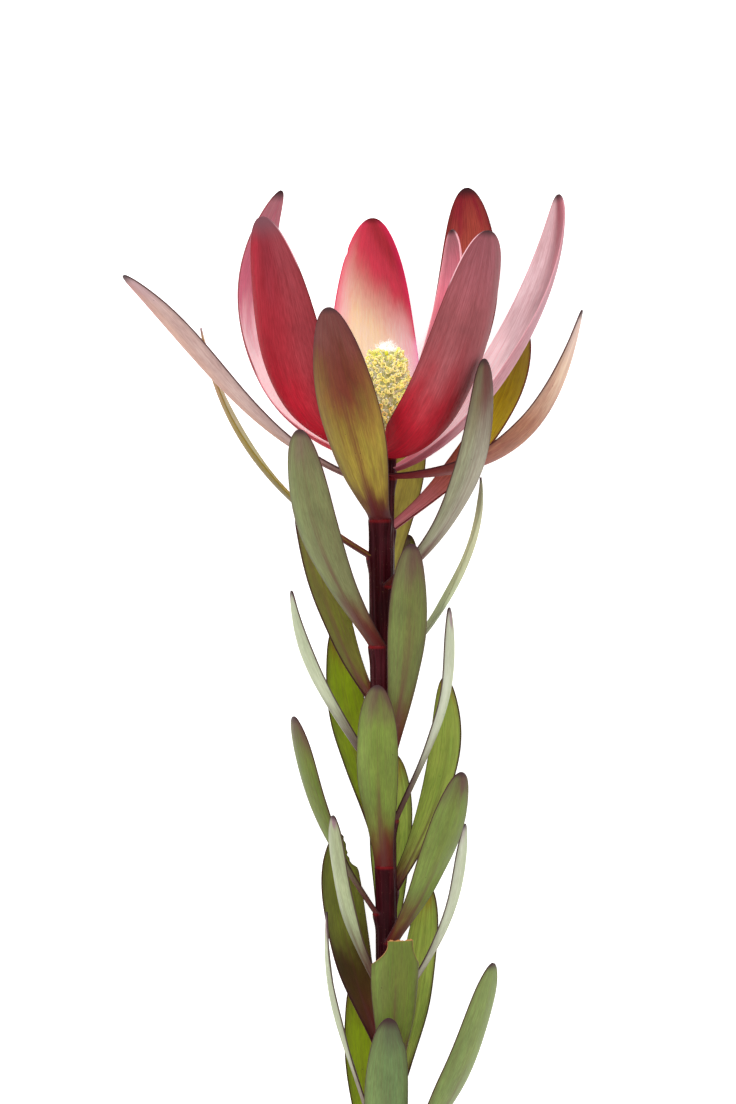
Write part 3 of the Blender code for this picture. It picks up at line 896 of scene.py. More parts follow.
    # Its pale straw inner face is partly a painted highlight, and lift makes the face glow.
    OLIVE_LEAF = BladeFinish(
        FaceTint(Hue.STALK_RED, Hue.DARK_OLIVE, Hue.OLIVE, Hue.TAN, 0.3, 0.6),
        FaceTint(Hue.STALK_RED, Hue.OLIVE_YELLOW, Hue.PALE_STRAW, Hue.SAND_PINK, 0.3, 0.6),
        edge=Hue.OLIVE, edge_thick=0.3, edge_share=0.5, shade_share=0.05,
        point=Hue.MAUVE_GREY, line_share=0.12, lift=0.3)
    THIN_LEAF = BladeFinish(
        GREY_STALK, GREY_STALK,
        edge=Hue.GREY_GREEN, edge_thick=0.3, edge_share=0.5, shade_share=0.05,
        line_share=0.12, lift=0.15)
    # Its outer face's left half carries a painted sheen.
    GLAUCOUS_LEAF = BladeFinish(
        FaceTint(Hue.STALK_RED, Hue.ASH_GREEN, Hue.ASH_GREEN, Hue.PURPLE_BROWN, 0.3, 0.62,
                 left=Hue.SHEEN_GREEN, left_share=0.3),
        FaceTint(Hue.STALK_RED, Hue.GREY_GREEN, Hue.LEAF, Hue.PURPLE_GREY, 0.3, 0.62),
        rib_share=0.65, rib_spread=1.4, shade_share=0.4, line_share=0.3)
    GREEN_LEAF = leaf_finish(Hue.LEAF, Hue.LIT_GREEN, Hue.PURPLE_GREY)
    MOSS_LEAF = leaf_finish(Hue.MOSS, Hue.LIT_GREEN, Hue.PURPLE_GREY)
    BLUE_LEAF = leaf_finish(Hue.BLUE_GREEN, Hue.LIT_GREEN, Hue.DUSKY_GREEN, point_at=0.94)
    LOW_LEAF = leaf_finish(Hue.SOFT_GREEN, Hue.LIT_GREEN, Hue.SOFT_GREEN)
    LIT_LEAF = leaf_finish(Hue.LEAF, Hue.LIT_GREEN, Hue.OLIVE, glow=0.5, lift=0.15,
                           specular=0.12)
    SUNLIT_LEAF = leaf_finish(Hue.LEAF, Hue.SUN_GREEN, Hue.OLIVE_YELLOW, glow=0.5, lift=0.2,
                              specular=0.12, line_share=0.3)
    STRAW_LEAF = leaf_finish(Hue.OLIVE, Hue.STRAW_GREEN, Hue.OLIVE_YELLOW, glow=0.5,
                             lift=0.3, specular=0.12)
    DULL_LEAF = leaf_finish(Hue.DULL_GREEN, Hue.LIT_GREEN, Hue.DUSTY_OLIVE, shade_share=0.4)
    BROWN_LEAF = leaf_finish(Hue.BROWN_GREEN, Hue.LIT_GREEN, Hue.PURPLE_GREY, glow=0.2,
                             shade_share=0.45, rib_share=0.9, rib_spread=2.4, rib_fade=0.95)
    FOLDED_LEAF = leaf_finish(Hue.BROWN_GREEN, Hue.OLIVE_GREEN, Hue.PURPLE_GREY, glow=0.4,
                              lift=0.2, specular=0.1, rib=Hue.DUSTY_BROWN, rib_share=0.9,
                              rib_spread=2.4, lines=Hue.DUSTY_BROWN, line_share=0.35)
    # Leaves seen edge-on: painted pale, with a frost-white painted sheen over the inner face and
    # the outer face's left half.
    PALE_SHEEN_LEAF = BladeFinish(
        FaceTint(Hue.PURPLE_BROWN, Hue.PALE_GREEN, Hue.PALE_GREEN, Hue.MAUVE_GREY, 0.5, 0.92,
                 left=Hue.FROST_SHEEN, left_share=0.4),
        FaceTint(Hue.PURPLE_BROWN, Hue.FROST_SHEEN, Hue.FROST_SHEEN, Hue.MAUVE_GREY, 0.46, 0.92),
        shade_share=0.2, glow=0.4, rib_share=0.6, line_share=0.16, sheen=0.04)
    # Its outer face's left half carries a faint frost-white painted sheen.
    SAGE_LEAF = BladeFinish(
        FaceTint(Hue.PURPLE_BROWN, Hue.SAGE, Hue.SAGE, Hue.MAUVE_GREY, 0.42, 0.94,
                 left=Hue.FROST_SHEEN, left_share=0.2),
        FaceTint(Hue.PURPLE_BROWN, Hue.SAGE, Hue.SAGE, Hue.MAUVE_GREY, 0.3, 0.88),
        shade_share=0.2, rib_share=0.6)
    DARK_LEAF = BladeFinish(
        FaceTint(Hue.STALK_RED, Hue.DEEP_GREEN, Hue.DEEP_GREEN, Hue.DULL_GREEN, 0.36, 0.8),
        FaceTint(Hue.MAROON, Hue.SHADE_BROWN, Hue.SHADE_GREEN, Hue.SHADE_GREEN, 0.34, 0.66),
        glow=0.25, specular=0.1, rib_share=0.7)
    TORN_LEAF = leaf_finish(Hue.MOSS, Hue.LIT_GREEN, Hue.MOSS, tip_edge=Hue.BITE_BROWN,
                            tip_edge_at=0.64, point=Hue.BITE_BROWN, point_at=0.744,
                            point_full=0.749)


def ripple(waves: tuple[Triple, ...], place: np.ndarray) -> np.ndarray:
    """Adds up sine waves.

    Args:
        waves: The rise, pace and start of each.
        place: Where they are read.

    Returns:
        Their sum at each place.
    """
    return sum(rise * np.sin(pace * place + start) for rise, pace, start in waves)


@dataclass(frozen=True)
class Bite:
    """A nick or eaten stretch of one margin, from start to end along the blade."""

    side: int
    start: float
    end: float
    depth: float

    ENTRY = 0.25
    # Rise, pace and start of each wave.
    TEETH = ((0.16, 190.0, 0.0), (0.1, 413.0, 1.0))

    def cut(self, along: np.ndarray) -> np.ndarray:
        """Gives the share of the half width that is left at each place along.

        Args:
            along: Shares of the blade's length.

        Returns:
            Numbers from 0 to 1.
        """
        entry = self.ENTRY * (self.end - self.start)
        inside = smooth_step(self.start, self.start + entry, along)
        if self.end < 1.0:
            inside = inside - smooth_step(self.end - entry, self.end, along)
        return 1.0 - self.depth * inside * (1.0 + ripple(self.TEETH, along))


class MeshDraft:
    """Collects points, faces and maps, then makes one mesh object of them."""

    WELD_DIGITS = 3

    def __init__(self, charts: tuple[str, ...]) -> None:
        """Starts an empty mesh.

        Args:
            charts: The names of its UV maps.
        """
        self.charts: dict[str, list[np.ndarray]] = {name: [] for name in charts}
        self.points: list[np.ndarray] = []
        self.faces: list[tuple[int, ...]] = []
        self.slots: list[int] = []
        self.count = 0

    def add(self, points: np.ndarray, faces: np.ndarray, charts: dict[str, np.ndarray],
            slot: int = 0) -> None:
        """Adds a patch.

        Args:
            points: Its points, in millimetres.
            faces: Its faces, as rows of indices into points.
            charts: For each UV map, a pair for each face's corner.
            slot: Its material slot.
        """
        self.points.append(np.asarray(points, float).reshape(-1, 3))
        self.faces.extend(map(tuple, (np.asarray(faces) + self.count).tolist()))
        for name, pairs in charts.items():
            self.charts[name].append(np.asarray(pairs, float).reshape(-1, 2))
        self.slots.extend([slot] * len(faces))
        self.count += len(self.points[-1])

    def close(self, ring: np.ndarray, charts: dict[str, Pair], slot: int, flip: bool,
              lift: float | None = None) -> None:
        """Closes a ring with one face, or with a fan of triangles round its middle.

        Args:
            ring: The ring's points.
            charts: For each UV map, one pair for the whole patch.
            slot: Its material slot.
            flip: True where the patch looks back along the ring's axis.
            lift: For a fan, how far its middle stands above the ring's own.
        """
        count = len(ring)
        faces = np.arange(count)[None]
        if lift is not None:
            faces = np.array([[i, (i + 1) % count, count] for i in range(count)])
            ring = np.vstack([ring, ring.mean(axis=0) + (0.0, 0.0, lift)])
        pairs = {name: np.tile(pair, (faces.size, 1)) for name, pair in charts.items()}
        self.add(ring, faces[:, ::-1] if flip else faces, pairs, slot)

    def build(self, name: str, materials: list[Material], place: Matrix) -> bpy.types.Object:
        """Makes the object.

        Args:
            name: The object's name.
            materials: Its materials, by slot.
            place: Its matrix.

        Returns:
            The object, linked to the scene.
        """
        mesh = bpy.data.meshes.new(name)
        laid = np.array(place)
        spots = np.concatenate(self.points)
        _, first, index = np.unique(np.round(spots, self.WELD_DIGITS), axis=0,
                                    return_index=True, return_inverse=True)
        points = MM * spots[first] @ laid[:3, :3].T + laid[:3, 3]
        faces = [tuple(index.ravel()[list(face)].tolist()) for face in self.faces]
        mesh.from_pydata(points.tolist(), [], faces)
        for chart, pairs in self.charts.items():
            layer = mesh.uv_layers.new(name=chart)
            layer.data.foreach_set("uv", np.concatenate(pairs).astype(np.float32).ravel())
        mesh.polygons.foreach_set("material_index", self.slots)
        mesh.shade_smooth()
        for material in materials:
            mesh.materials.append(material)
        piece = bpy.data.objects.new(name, mesh)
        bpy.context.scene.collection.objects.link(piece)
        return piece


def ring_faces(rows: int, columns: int) -> np.ndarray:
    """Gives the quads that join rings of points into a tube.

    Args:
        rows: How many rings.
        columns: How many points a ring.

    Returns:
        Four indices a quad, row by row.
    """
    row, column = np.meshgrid(np.arange(rows - 1), np.arange(columns), indexing="ij")
    after = (column + 1) % columns
    here, there = row * columns, (row + 1) * columns
    quads = np.stack([here + column, here + after, there + after, there + column], axis=-1)
    return quads.reshape(-1, 4)


def ring_chart(values: np.ndarray) -> np.ndarray:
    """Gives a UV pair for each corner of ring_faces.

    Args:
        values: Pairs by ring and point, with the first point again at each ring's end.

    Returns:
        Four pairs a quad.
    """
    corners = [values[:-1, :-1], values[:-1, 1:], values[1:, 1:], values[1:, :-1]]
    return np.stack(corners, axis=2).reshape(-1, 4, 2)


def share_chart(along: np.ndarray, columns: int) -> np.ndarray:
    """Gives the shares round and along for each corner of ring_faces.

    Args:
        along: One share for each ring.
        columns: How many points a ring.

    Returns:
        Four pairs a quad.
    """
    rows, around = np.meshgrid(along, np.linspace(0.0, 1.0, columns + 1), indexing="ij")
    return ring_chart(np.stack([around, rows], axis=-1))


def dress(piece: bpy.types.Object, node: str) -> None:
    """Puts a piece in the place of a solid.

    Args:
        piece: The piece.
        node: The solid that it stands for.
    """
    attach(piece, BODY)
    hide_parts(node)
    LOG.info("%s: %d faces", piece.name, len(piece.data.polygons))


@dataclass(frozen=True)
class Blade:
    """One leaf or bract, from its seat on the stem to its tip, in millimetres and degrees.

    Attributes:
        node: The solid that it replaces.
        height: How high on the stem it sits.
        azimuth: Which way it faces, from the camera's side.
        reach: How far its tip is from the stem's axis.
        rise: How far its tip is above its seat.
        side: How far its tip is aside.
        width: Its widest.
        base: Its width at the seat.
        widest: The share along at which it is widest.
        swell: How late it widens.
        depart: The angle from upright at which it leaves the stem.
        arrive: The angle from upright at its tip.
        bow: How far the centre line's handles reach, as a share of its length.
        cup: The radius of its hollow.
        twist: How far it has turned at its tip.
        blunt: How blunt its tip is.
        slot: The record's slot; not used here.
        finish: The finish that it wears.
        torn: True where its top is torn off.
        bites: Nicks in its margins.
    """

    node: str
    height: float
    azimuth: float
    reach: float
    rise: float
    side: float
    width: float
    base: float
    widest: float
    swell: float
    depart: float
    arrive: float
    bow: float
    cup: float
    twist: float
    blunt: float
    slot: Slot
    finish: Finish
    torn: bool = False
    bites: tuple[Bite, ...] = ()

    ROWS = 76
    COLUMNS = 27
    SEED_STEPS = (0.37, 0.11)
    ROOT_SINK = 0.55
    ROOT_SHARE = -0.012
    TIP_SLOPE = 0.5
    HUG_END = 0.35
    HALF_THICK = 0.36
    THIN_EDGE = 0.1
    RIB_HEIGHT = 0.14
    RIB_WIDTH = 0.6
    RIB_TAPER = 0.6
    GROOVE_DEPTH = 0.16
    WAVE_RISE = 0.3
    WAVE_COUNT = 1.7
    WAVE_SEED = 0.13
    WAVE_SIDE_STEP = 1.3
    WAVE_START = (0.15, 0.5)
    WAVE_END = (0.85, 1.0)
    TORN_END = 0.75
    TORN_FROM = 0.845
    TORN_FULL = 0.97
    TORN_POWER = 0.5
    TORN_LIPS = (0.38, 0.68)
    TORN_JAGS = ((0.02, 9.0, 1.0), (0.012, 23.0, 0.0))
    TORN_JAG_SHARE = 0.2
    TORN_ROUND = 0.96

    @property
    def seed(self) -> float:
        """Gives a number of its own for the blade's noise and waves."""
        return self.SEED_STEPS[0] * self.azimuth + self.SEED_STEPS[1] * self.height

    def centre_line(self, along: np.ndarray) -> tuple[np.ndarray, np.ndarray]:
        """Follows the middle of the blade.

        Args:
            along: Shares of its length.

        Returns:
            Points and unit directions, before the blade is turned to its azimuth.
        """
        leave, land = math.radians(self.depart), math.radians(self.arrive)
        lean = HALF_SOLID_BLADE * math.cos(leave) - self.ROOT_SINK
        start = np.array((0.0, -(float(stem_radius(self.height)) + SEAT_GAP + lean), 0.0))
        tip = np.array((self.side, -self.reach, self.rise))
        handle = self.bow * np.linalg.norm(tip - start)
        near = start + handle * np.array((0.0, -math.sin(leave), math.cos(leave)))
        slope = self.TIP_SLOPE * self.side / self.rise
        far = tip - handle * np.array((slope, -math.sin(land), math.cos(land)))
        t = along[:, None]
        s = 1.0 - t
        points = s**3 * start + 3 * s * s * t * near + 3 * s * t * t * far + t**3 * tip
        pace = s * s * (near - start) + 2 * s * t * (far - near) + t * t * (tip - far)
        return points, pace / np.linalg.norm(pace, axis=1, keepdims=True)

    def half_width(self, along: np.ndarray) -> np.ndarray:
        """Gives half the blade's width.

        Args:
            along: Shares of its length.

        Returns:
            Half widths in millimetres.
        """
        low = np.clip(along / self.widest, 0.0, 1.0)
        swell = np.sin(0.5 * math.pi * low) ** self.swell
        lower = 0.5 * (self.base + (self.width - self.base) * swell)
        taper = np.clip((along - self.widest) / (1.0 - self.widest), 0.0, 1.0)
        upper = 0.5 * self.width * np.sqrt(1.0 - taper**self.blunt)
        return np.where(along < self.widest, lower, upper)

    def body(self) -> tuple[np.ndarray, np.ndarray, np.ndarray, np.ndarray, np.ndarray]:
        """Works out the blade's two faces.

        Returns:
            Outer points, inner points, shares along, shares across and distances from the
            margin, each by row and column.
        """
        turn = np.linspace(0.0, math.pi, self.ROWS)
        even = 0.5 - 0.5 * np.cos(turn)
        along = self.ROOT_SHARE + (1.0 - self.ROOT_SHARE) * even[:-1]
        across = -np.cos(np.linspace(0.0, math.pi, self.COLUMNS))
        spread = np.tile(across, (len(along), 1))
        reach = np.tile(along[:, None], (1, len(across)))
        if self.torn:
            lips = np.where(spread < 0.0, *self.TORN_LIPS)
            near_end = smooth_step(self.TORN_FROM, self.TORN_FULL, reach) ** self.TORN_POWER
            jag = self.TORN_JAG_SHARE * ripple(self.TORN_JAGS, spread) * near_end
            spread = spread * (1.0 + (lips - 1.0) * near_end)
            reach = self.TORN_END * reach * (1.0 + jag)
        flat_reach = reach.ravel()
        points, way = self.centre_line(flat_reach)
        sideways = np.array((1.0, 0.0, 0.0)) - way[:, :1] * way
        sideways /= np.linalg.norm(sideways, axis=1, keepdims=True)
        roll = math.radians(self.twist) * flat_reach[:, None]
        sideways = np.cos(roll) * sideways + np.sin(roll) * np.cross(way, sideways)
        inward = np.cross(way, sideways)
        half = self.half_width(flat_reach).reshape(reach.shape)
        for bite in self.bites:
            mine = np.sign(spread) == bite.side
            half = np.where(mine, half * bite.cut(reach), half)
        hug = float(stem_radius(self.height)) + SEAT_GAP + HALF_SOLID_BLADE
        radius = hug + (self.cup - hug) * smooth_step(0.0, self.HUG_END, reach)
        angle = (spread * half / radius).ravel()[:, None]
        curve = radius.ravel()[:, None]
        middle = points + curve * (np.sin(angle) * sideways + (1.0 - np.cos(angle)) * inward)
        normal = np.cos(angle) * inward - np.sin(angle) * sideways
        shape = (*reach.shape, 3)
        middle, normal = middle.reshape(shape), normal.reshape(shape)
        edge = half * (1.0 - np.abs(np.where(self.torn, across, spread)))
        return self._faces(middle, normal, reach, spread, half, edge)

    def _faces(self, middle: np.ndarray, normal: np.ndarray, reach: np.ndarray,
               spread: np.ndarray, half: np.ndarray,
               edge: np.ndarray) -> tuple[np.ndarray, ...]:
        """Gives the blade its thickness, rib, groove and waves.

        Args:
            middle: The middle surface.
            normal: Its unit normals, towards the inner face.
            reach: Shares along.
            spread: Shares across, from -1 to 1.
            half: Half widths.
            edge: Distances from the margin.

        Returns:
            What body returns.
        """
        phase = self.WAVE_COUNT * reach + self.WAVE_SEED * self.seed
        wave = np.sin(math.tau * phase + self.WAVE_SIDE_STEP * np.sign(spread))
        fade = smooth_step(*self.WAVE_START, reach) * (1.0 - smooth_step(*self.WAVE_END, reach))
        middle = middle + (self.WAVE_RISE * wave * spread**2 * fade)[..., None] * normal
        full = self.HALF_THICK - self.THIN_EDGE * spread**2
        near_rim = 1.0 - np.clip(edge / full, 0.0, 1.0)
        thick = full * np.sqrt(np.clip(1.0 - near_rim**2, 0.0, 1.0))
        if self.torn:
            last = 1.0 - np.clip((self.TORN_END - reach) * self.rise / full, 0.0, 1.0)
            thick = thick * np.sqrt(np.clip(1.0 - self.TORN_ROUND * last**2, 0.0, 1.0))
        ridge = np.exp(-((spread * half / self.RIB_WIDTH) ** 2))
        fading = (1.0 - np.clip(reach, 0.0, 1.0)) ** self.RIB_TAPER
        rim_free = smooth_step(0.0, 1.0, edge)
        rib = self.RIB_HEIGHT * ridge * fading * rim_free
        groove = self.GROOVE_DEPTH * ridge * fading * rim_free
        outer = middle - (thick + rib)[..., None] * normal
        inner = middle + (thick - groove)[..., None] * normal
        return outer, inner, reach, spread, edge

    def build(self, effects: Effects, place: Matrix) -> bpy.types.Object:
        """Makes the blade's piece.

        Args:
            effects: The shared shader groups.
            place: The matrix that lays the plant down.

        Returns:
            The piece.
        """
        outer, inner, reach, spread, edge = self.body()
        rows, columns = reach.shape
        ring = np.concatenate([outer, inner[:, -2:0:-1]], axis=1)
        share = 0.5 + 0.5 * spread
        chart_x = np.concatenate([share, 2.0 - share[:, ::-1][:, 1:]], axis=1)
        chart_y, rim = (np.concatenate([values, values[:, ::-1][:, 1:]], axis=1)
                        for values in (reach, edge))
        length = math.hypot(self.rise, self.reach)
        maps = {"BladeMap": np.stack([chart_x, chart_y], axis=-1),
                "SizeMap": np.stack([rim, chart_y * length], axis=-1)}
        draft = MeshDraft(("BladeMap", "SizeMap"))
        turn = Matrix.Rotation(math.radians(self.azimuth), 3, "Z")
        points = ring.reshape(-1, 3) @ np.array(turn).T + stem_centre(self.height)
        wrapped = ring.shape[1]
        draft.add(points, ring_faces(rows, wrapped),
                  {name: ring_chart(pairs) for name, pairs in maps.items()})
        for row, flip in ((0, True), (rows - 1, False)):
            self._close(draft, wrapped, columns, maps, row, flip)
        skin = self.finish.value.material(f"{self.node}_skin", effects, self.width, self.seed)
        return draft.build(f"{self.node}_blade", [skin], place)

    def _close(self, draft: MeshDraft, wrapped: int, columns: int, maps: dict[str, np.ndarray],
               row: int, flip: bool) -> None:
        """Closes an end of the blade with a narrow strip between its faces.

        Args:
            draft: The mesh.
            wrapped: Points in the end ring.
            columns: Points across one face.
            maps: The UV maps by ring and point.
            row: The end ring's row.
            flip: True at the foot, where the strip looks down.
        """
        for low in range(columns - 1):
            high = low + 1
            corners = [low, high, (wrapped - high) % wrapped, (wrapped - low) % wrapped]
            corners = list(dict.fromkeys(corners))
            if flip:
                corners = corners[::-1]
            pairs = {name: values[row, corners] for name, values in maps.items()}
            faces = np.array([[row * wrapped + corner - draft.count for corner in corners]])
            draft.add(np.empty((0, 3)), faces, pairs)


@dataclass(frozen=True)
class BarkFinish:
    """The dark, faintly glossy bark, with red joints, corky dots and scars.

    A noise is given by its cells a millimetre, its octaves, and the values between which it
    rises.
    """

    drawn_out: float = 0.035
    lines: tuple[float, ...] = (1.15, 3.0, 0.38, 0.68)
    line_share: float = 0.5
    clouds: tuple[float, ...] = (0.06, 3.0, 0.35, 0.7)
    cloud_share: float = 0.5
    joint_rise: Pair = (0.2, 0.9)
    joint_share: float = 0.7
    dots: tuple[float, ...] = (1.9, 1.0, 0.7, 0.78)
    dot_share: float = 0.25
    pores: tuple[float, ...] = (0.7, 2.0, 0.45, 0.6)
    roughness: Pair = (0.14, 0.26)
    specular: float = 0.05
    bump_strength: float = 0.6
    bump_depth: float = 0.1

    def material(self, name: str) -> Material:
        """Builds the bark.

        Args:
            name: The material's name.

        Returns:
            The material.
        """
        material, bench, shader = Bench.material(name)
        around, along = bench.chart("BarkMap")
        turn = bench.times(around, math.tau)
        east = bench.times(bench.math("COSINE", turn), STEM_RADIUS_MIDDLE)
        north = bench.times(bench.math("SINE", turn), STEM_RADIUS_MIDDLE)
        up = bench.times(along, STEM_TOP)
        drawn = bench.point(east, north, bench.times(up, self.drawn_out))
        spot = bench.point(east, north, up)
        lines = bench.cloud(drawn, *self.lines)
        clouds, dots, pores = (bench.cloud(spot, *noise)
                               for noise in (self.clouds, self.dots, self.pores))
        joint, scar = bench.chart("MarkMap")
        colour = Hue.BARK
        for hue, mask, share in ((Hue.BARK_LIGHT, lines, self.line_share),
                                 (Hue.BARK_DARK, clouds, self.cloud_share),
                                 (Hue.BARK_RED, bench.ease(joint, *self.joint_rise),
                                  self.joint_share),
                                 (Hue.CORK, dots, self.dot_share)):
            colour = bench.tint(colour, hue, mask, share)
        colour = bench.mix(scar, colour, bench.mix(pores, Hue.CORK, Hue.PURPLE_BROWN))
        bench.fill(shader, Base_Color=colour, Specular_IOR_Level=self.specular,
                   Roughness=bench.scale(clouds, *self.roughness),
                   Normal=bench.bump(lines, self.bump_strength, self.bump_depth))
        return material


@dataclass(frozen=True)
class WoodFinish:
    """The pale wood of the cut face, with rays, pith and a green and a dark ring."""

    rays: float = 40.0
    ray_rise: Pair = (0.1, 1.0)
    ray_share: float = 0.25
    grain_cells: float = 1400.0
    grain_octaves: float = 3.0
    grain_share: float = 0.3
    pith_edge: Pair = (0.2, 0.28)
    green_edge: Pair = (0.78, 0.86)
    bark_edge: Pair = (0.9, 0.95)
    roughness: float = 0.7

    def material(self, name: str) -> Material:
        """Builds the wood.

        Args:
            name: The material's name.

        Returns:
            The material.
        """
        material, bench, shader = Bench.material(name)
        around, out = bench.chart("BarkMap")
        rays = bench.math("SINE", bench.times(around, math.tau * self.rays))
        grain = bench.noise(bench.spot(), self.grain_cells, self.grain_octaves)
        colour = bench.tint(Hue.WOOD, Hue.PITH, bench.ease(rays, *self.ray_rise),
                            self.ray_share)
        colour = bench.tint(colour, Hue.TAN, grain, self.grain_share)
        colour = bench.mix(bench.fall(out, *self.pith_edge), colour, Hue.PITH)
        colour = bench.mix(bench.ease(out, *self.green_edge), colour, Hue.OLIVE_YELLOW)
        colour = bench.mix(bench.ease(out, *self.bark_edge), colour, Hue.BARK_LIGHT)
        bench.fill(shader, Base_Color=colour, Roughness=self.roughness)
        return material


@dataclass(frozen=True)
class MainStem:
    """The bark-covered stem with its leaf cushions, scars and cut end."""

    node: str = "main_stem"
    rows: int = 470
    columns: int = 96
    bark: BarkFinish = BarkFinish()
    wood: WoodFinish = WoodFinish()
    # Rise, rounds, drift and start of each.
    furrows: tuple[tuple[float, ...], ...] = ((0.05, 19.0, 0.02, 0.0), (0.035, 31.0, -0.03, 1.0))
    cushion_rise: float = 1.05
    cushion_drop: float = 8.0
    cushion_power: float = 1.5
    low_cushion: float = 0.55
    head_length: float = 16.0
    axil_rise: float = 1.3
    joint_drop: float = 0.35
    joint_half: float = 0.75
    joint_top: float = 0.8
    ridge_rise: float = 0.2
    ridge_length: float = 26.0
    ridge_full: float = 2.0
    ridge_place: float = 0.92
    ridge_width: float = 0.45
    scar_heights: tuple[float, ...] = (52.0, 43.0, 34.0, 25.0, 16.0)
    scar_first_azimuth: float = GOLDEN_ANGLE * 26 - 8.0
    scar_width: float = 5.2
    scar_middle: float = 0.4
    scar_half: float = 1.5
    scar_rim: Pair = (0.6, 1.0)
    scar_slope: float = 0.5
    scar_depth: float = 0.35
    cut_rings: int = 14
    rim_bevel: float = 0.35
    saw_rise: float = 0.06
    saw_pace: float = 21.0
    saw_until: float = 0.95
    ray_rise: float = 0.03
    rays: int = 24
    top_lift: float = 0.6

    BARK_SLOT = 0
    WOOD_SLOT = 1

    def relief(self, height: np.ndarray, turn: np.ndarray,
               blades: tuple[Blade, ...]) -> tuple[np.ndarray, np.ndarray, np.ndarray]:
        """Works out how far the bark stands out and where it is red or scarred.

        Args:
            height: Heights by row and column.
            turn: Angles round the stem by row and column.
            blades: All blades.

        Returns:
            The relief in millimetres, the red mask and the scar mask.
        """
        radius = stem_radius(height)
        relief, red, scars = (np.zeros_like(height) for _ in range(3))
        for rise, rounds, drift, start in self.furrows:
            relief = relief + rise * np.sin(rounds * turn + drift * height + start)
        seats = [(b.height, math.radians(b.azimuth), b.base, False) for b in blades]
        for index, low in enumerate(self.scar_heights):
            azimuth = math.radians(self.scar_first_azimuth + GOLDEN_ANGLE * index)
            seats.append((low, azimuth, self.scar_width, True))
        for seat, azimuth, base, scarred in seats:
            off = (turn - azimuth + math.pi) % math.tau - math.pi
            across = off * radius / (0.5 * base)
            below = seat - height
            small = scarred or seat > STEM_TOP - self.head_length
            rise = self.cushion_rise * (self.low_cushion if small else 1.0)
            fall = 1.0 - smooth_step(0.0, self.cushion_drop, below)
            axil = 1.0 - smooth_step(0.0, self.axil_rise, -below)
            spread = np.exp(-(across**4))
            fall = np.where(below > 0.0, fall**self.cushion_power, axil)
            relief = relief + rise * (fall * spread)
            joint = np.exp(-(((below - self.joint_drop) / self.joint_half) ** 2))
            red = np.maximum(red, joint * (below > -self.joint_top) * spread)
            for side in (-1.0, 1.0):
                edge = (across - side * self.ridge_place) * 0.5 * base / self.ridge_width
                fade = smooth_step(self.ridge_length, self.ridge_full, below) * (below > 0.0)
                relief = relief + self.ridge_rise * np.exp(-(edge**2)) * fade
            if scarred:
                oval = across**2 + ((height - seat - self.scar_middle) / self.scar_half) ** 2
                mark = 1.0 - smooth_step(*self.scar_rim, oval)
                sunk = smooth_step(0.0, self.scar_slope, 1.0 - oval)
                relief = relief - self.scar_depth * mark * sunk
                scars = np.maximum(scars, mark)
        return relief, red, scars

    def build(self, blades: tuple[Blade, ...], place: Matrix) -> bpy.types.Object:
        """Makes the stem's piece.

        Args:
            blades: All blades, whose feet shape the bark.
            place: The matrix that lays the plant down.

        Returns:
            The piece.
        """
        height, turn = np.meshgrid(np.linspace(self.rim_bevel, STEM_TOP, self.rows),
                                   np.linspace(0.0, math.tau, self.columns + 1),
                                   indexing="ij")
        relief, red, scars = self.relief(height, turn, blades)
        radius = stem_radius(height) + relief
        out = np.stack([np.sin(turn), -np.cos(turn), np.zeros_like(turn)], axis=-1)
        points = stem_centre(height) + radius[..., None] * out
        draft = MeshDraft(("BarkMap", "MarkMap"))
        shares = np.stack([turn / math.tau, height / STEM_TOP], axis=-1)
        charts = {"BarkMap": ring_chart(shares),
                  "MarkMap": ring_chart(np.stack([red, scars], axis=-1))}
        draft.add(points[:, :-1], ring_faces(self.rows, self.columns), charts, self.BARK_SLOT)
        draft.close(points[-1, :-1], {"BarkMap": (0.5, 1.0), "MarkMap": (0.0, 0.0)},
                    self.BARK_SLOT, False, self.top_lift)
        self._cut(draft, points[0], out[0])
        materials = [self.bark.material("bark_skin"), self.wood.material("cut_wood")]
        return draft.build(f"{self.node}_bark", materials, place)

    def _cut(self, draft: MeshDraft, ring: np.ndarray, out: np.ndarray) -> None:
        """Closes the stem's foot with a bevelled, faintly ridged cut face.

        Args:
            draft: The mesh.
            ring: The lowest ring of bark, with its first point again at the end.
            out: Unit vectors away from the axis, for each point.
        """
        centre = np.array((float(stem_centre(0.0)[0]), 0.0, 0.0))
        size = np.linalg.norm((ring - centre)[:, :2], axis=1)
        shares = np.linspace(1.0, 0.0, self.cut_rings + 1)[:-1]
        spoke = self.ray_rise * np.sin(self.rays * np.arange(len(ring)) / len(ring) * math.tau)
        rows = [ring]
        for share in shares:
            grain = self.saw_rise * math.sin(self.saw_pace * share) * (share < self.saw_until)
            flat = centre + (share * (size - self.rim_bevel))[:, None] * out
            flat[:, 2] = grain + spoke * share
            rows.append(flat)
        grid = np.array(rows)[::-1]
        faces = ring_faces(len(grid), len(ring) - 1)
        pairs = {"BarkMap": share_chart(np.array([1.0, *shares])[::-1], len(ring) - 1),
                 "MarkMap": np.zeros((faces.size, 2))}
        draft.add(grid[:, :-1], faces, pairs, self.WOOD_SLOT)
        draft.close(grid[0, :-1], {"BarkMap": (0.5, 0.0), "MarkMap": (0.0, 0.0)},
                    self.WOOD_SLOT, True, 0.0)


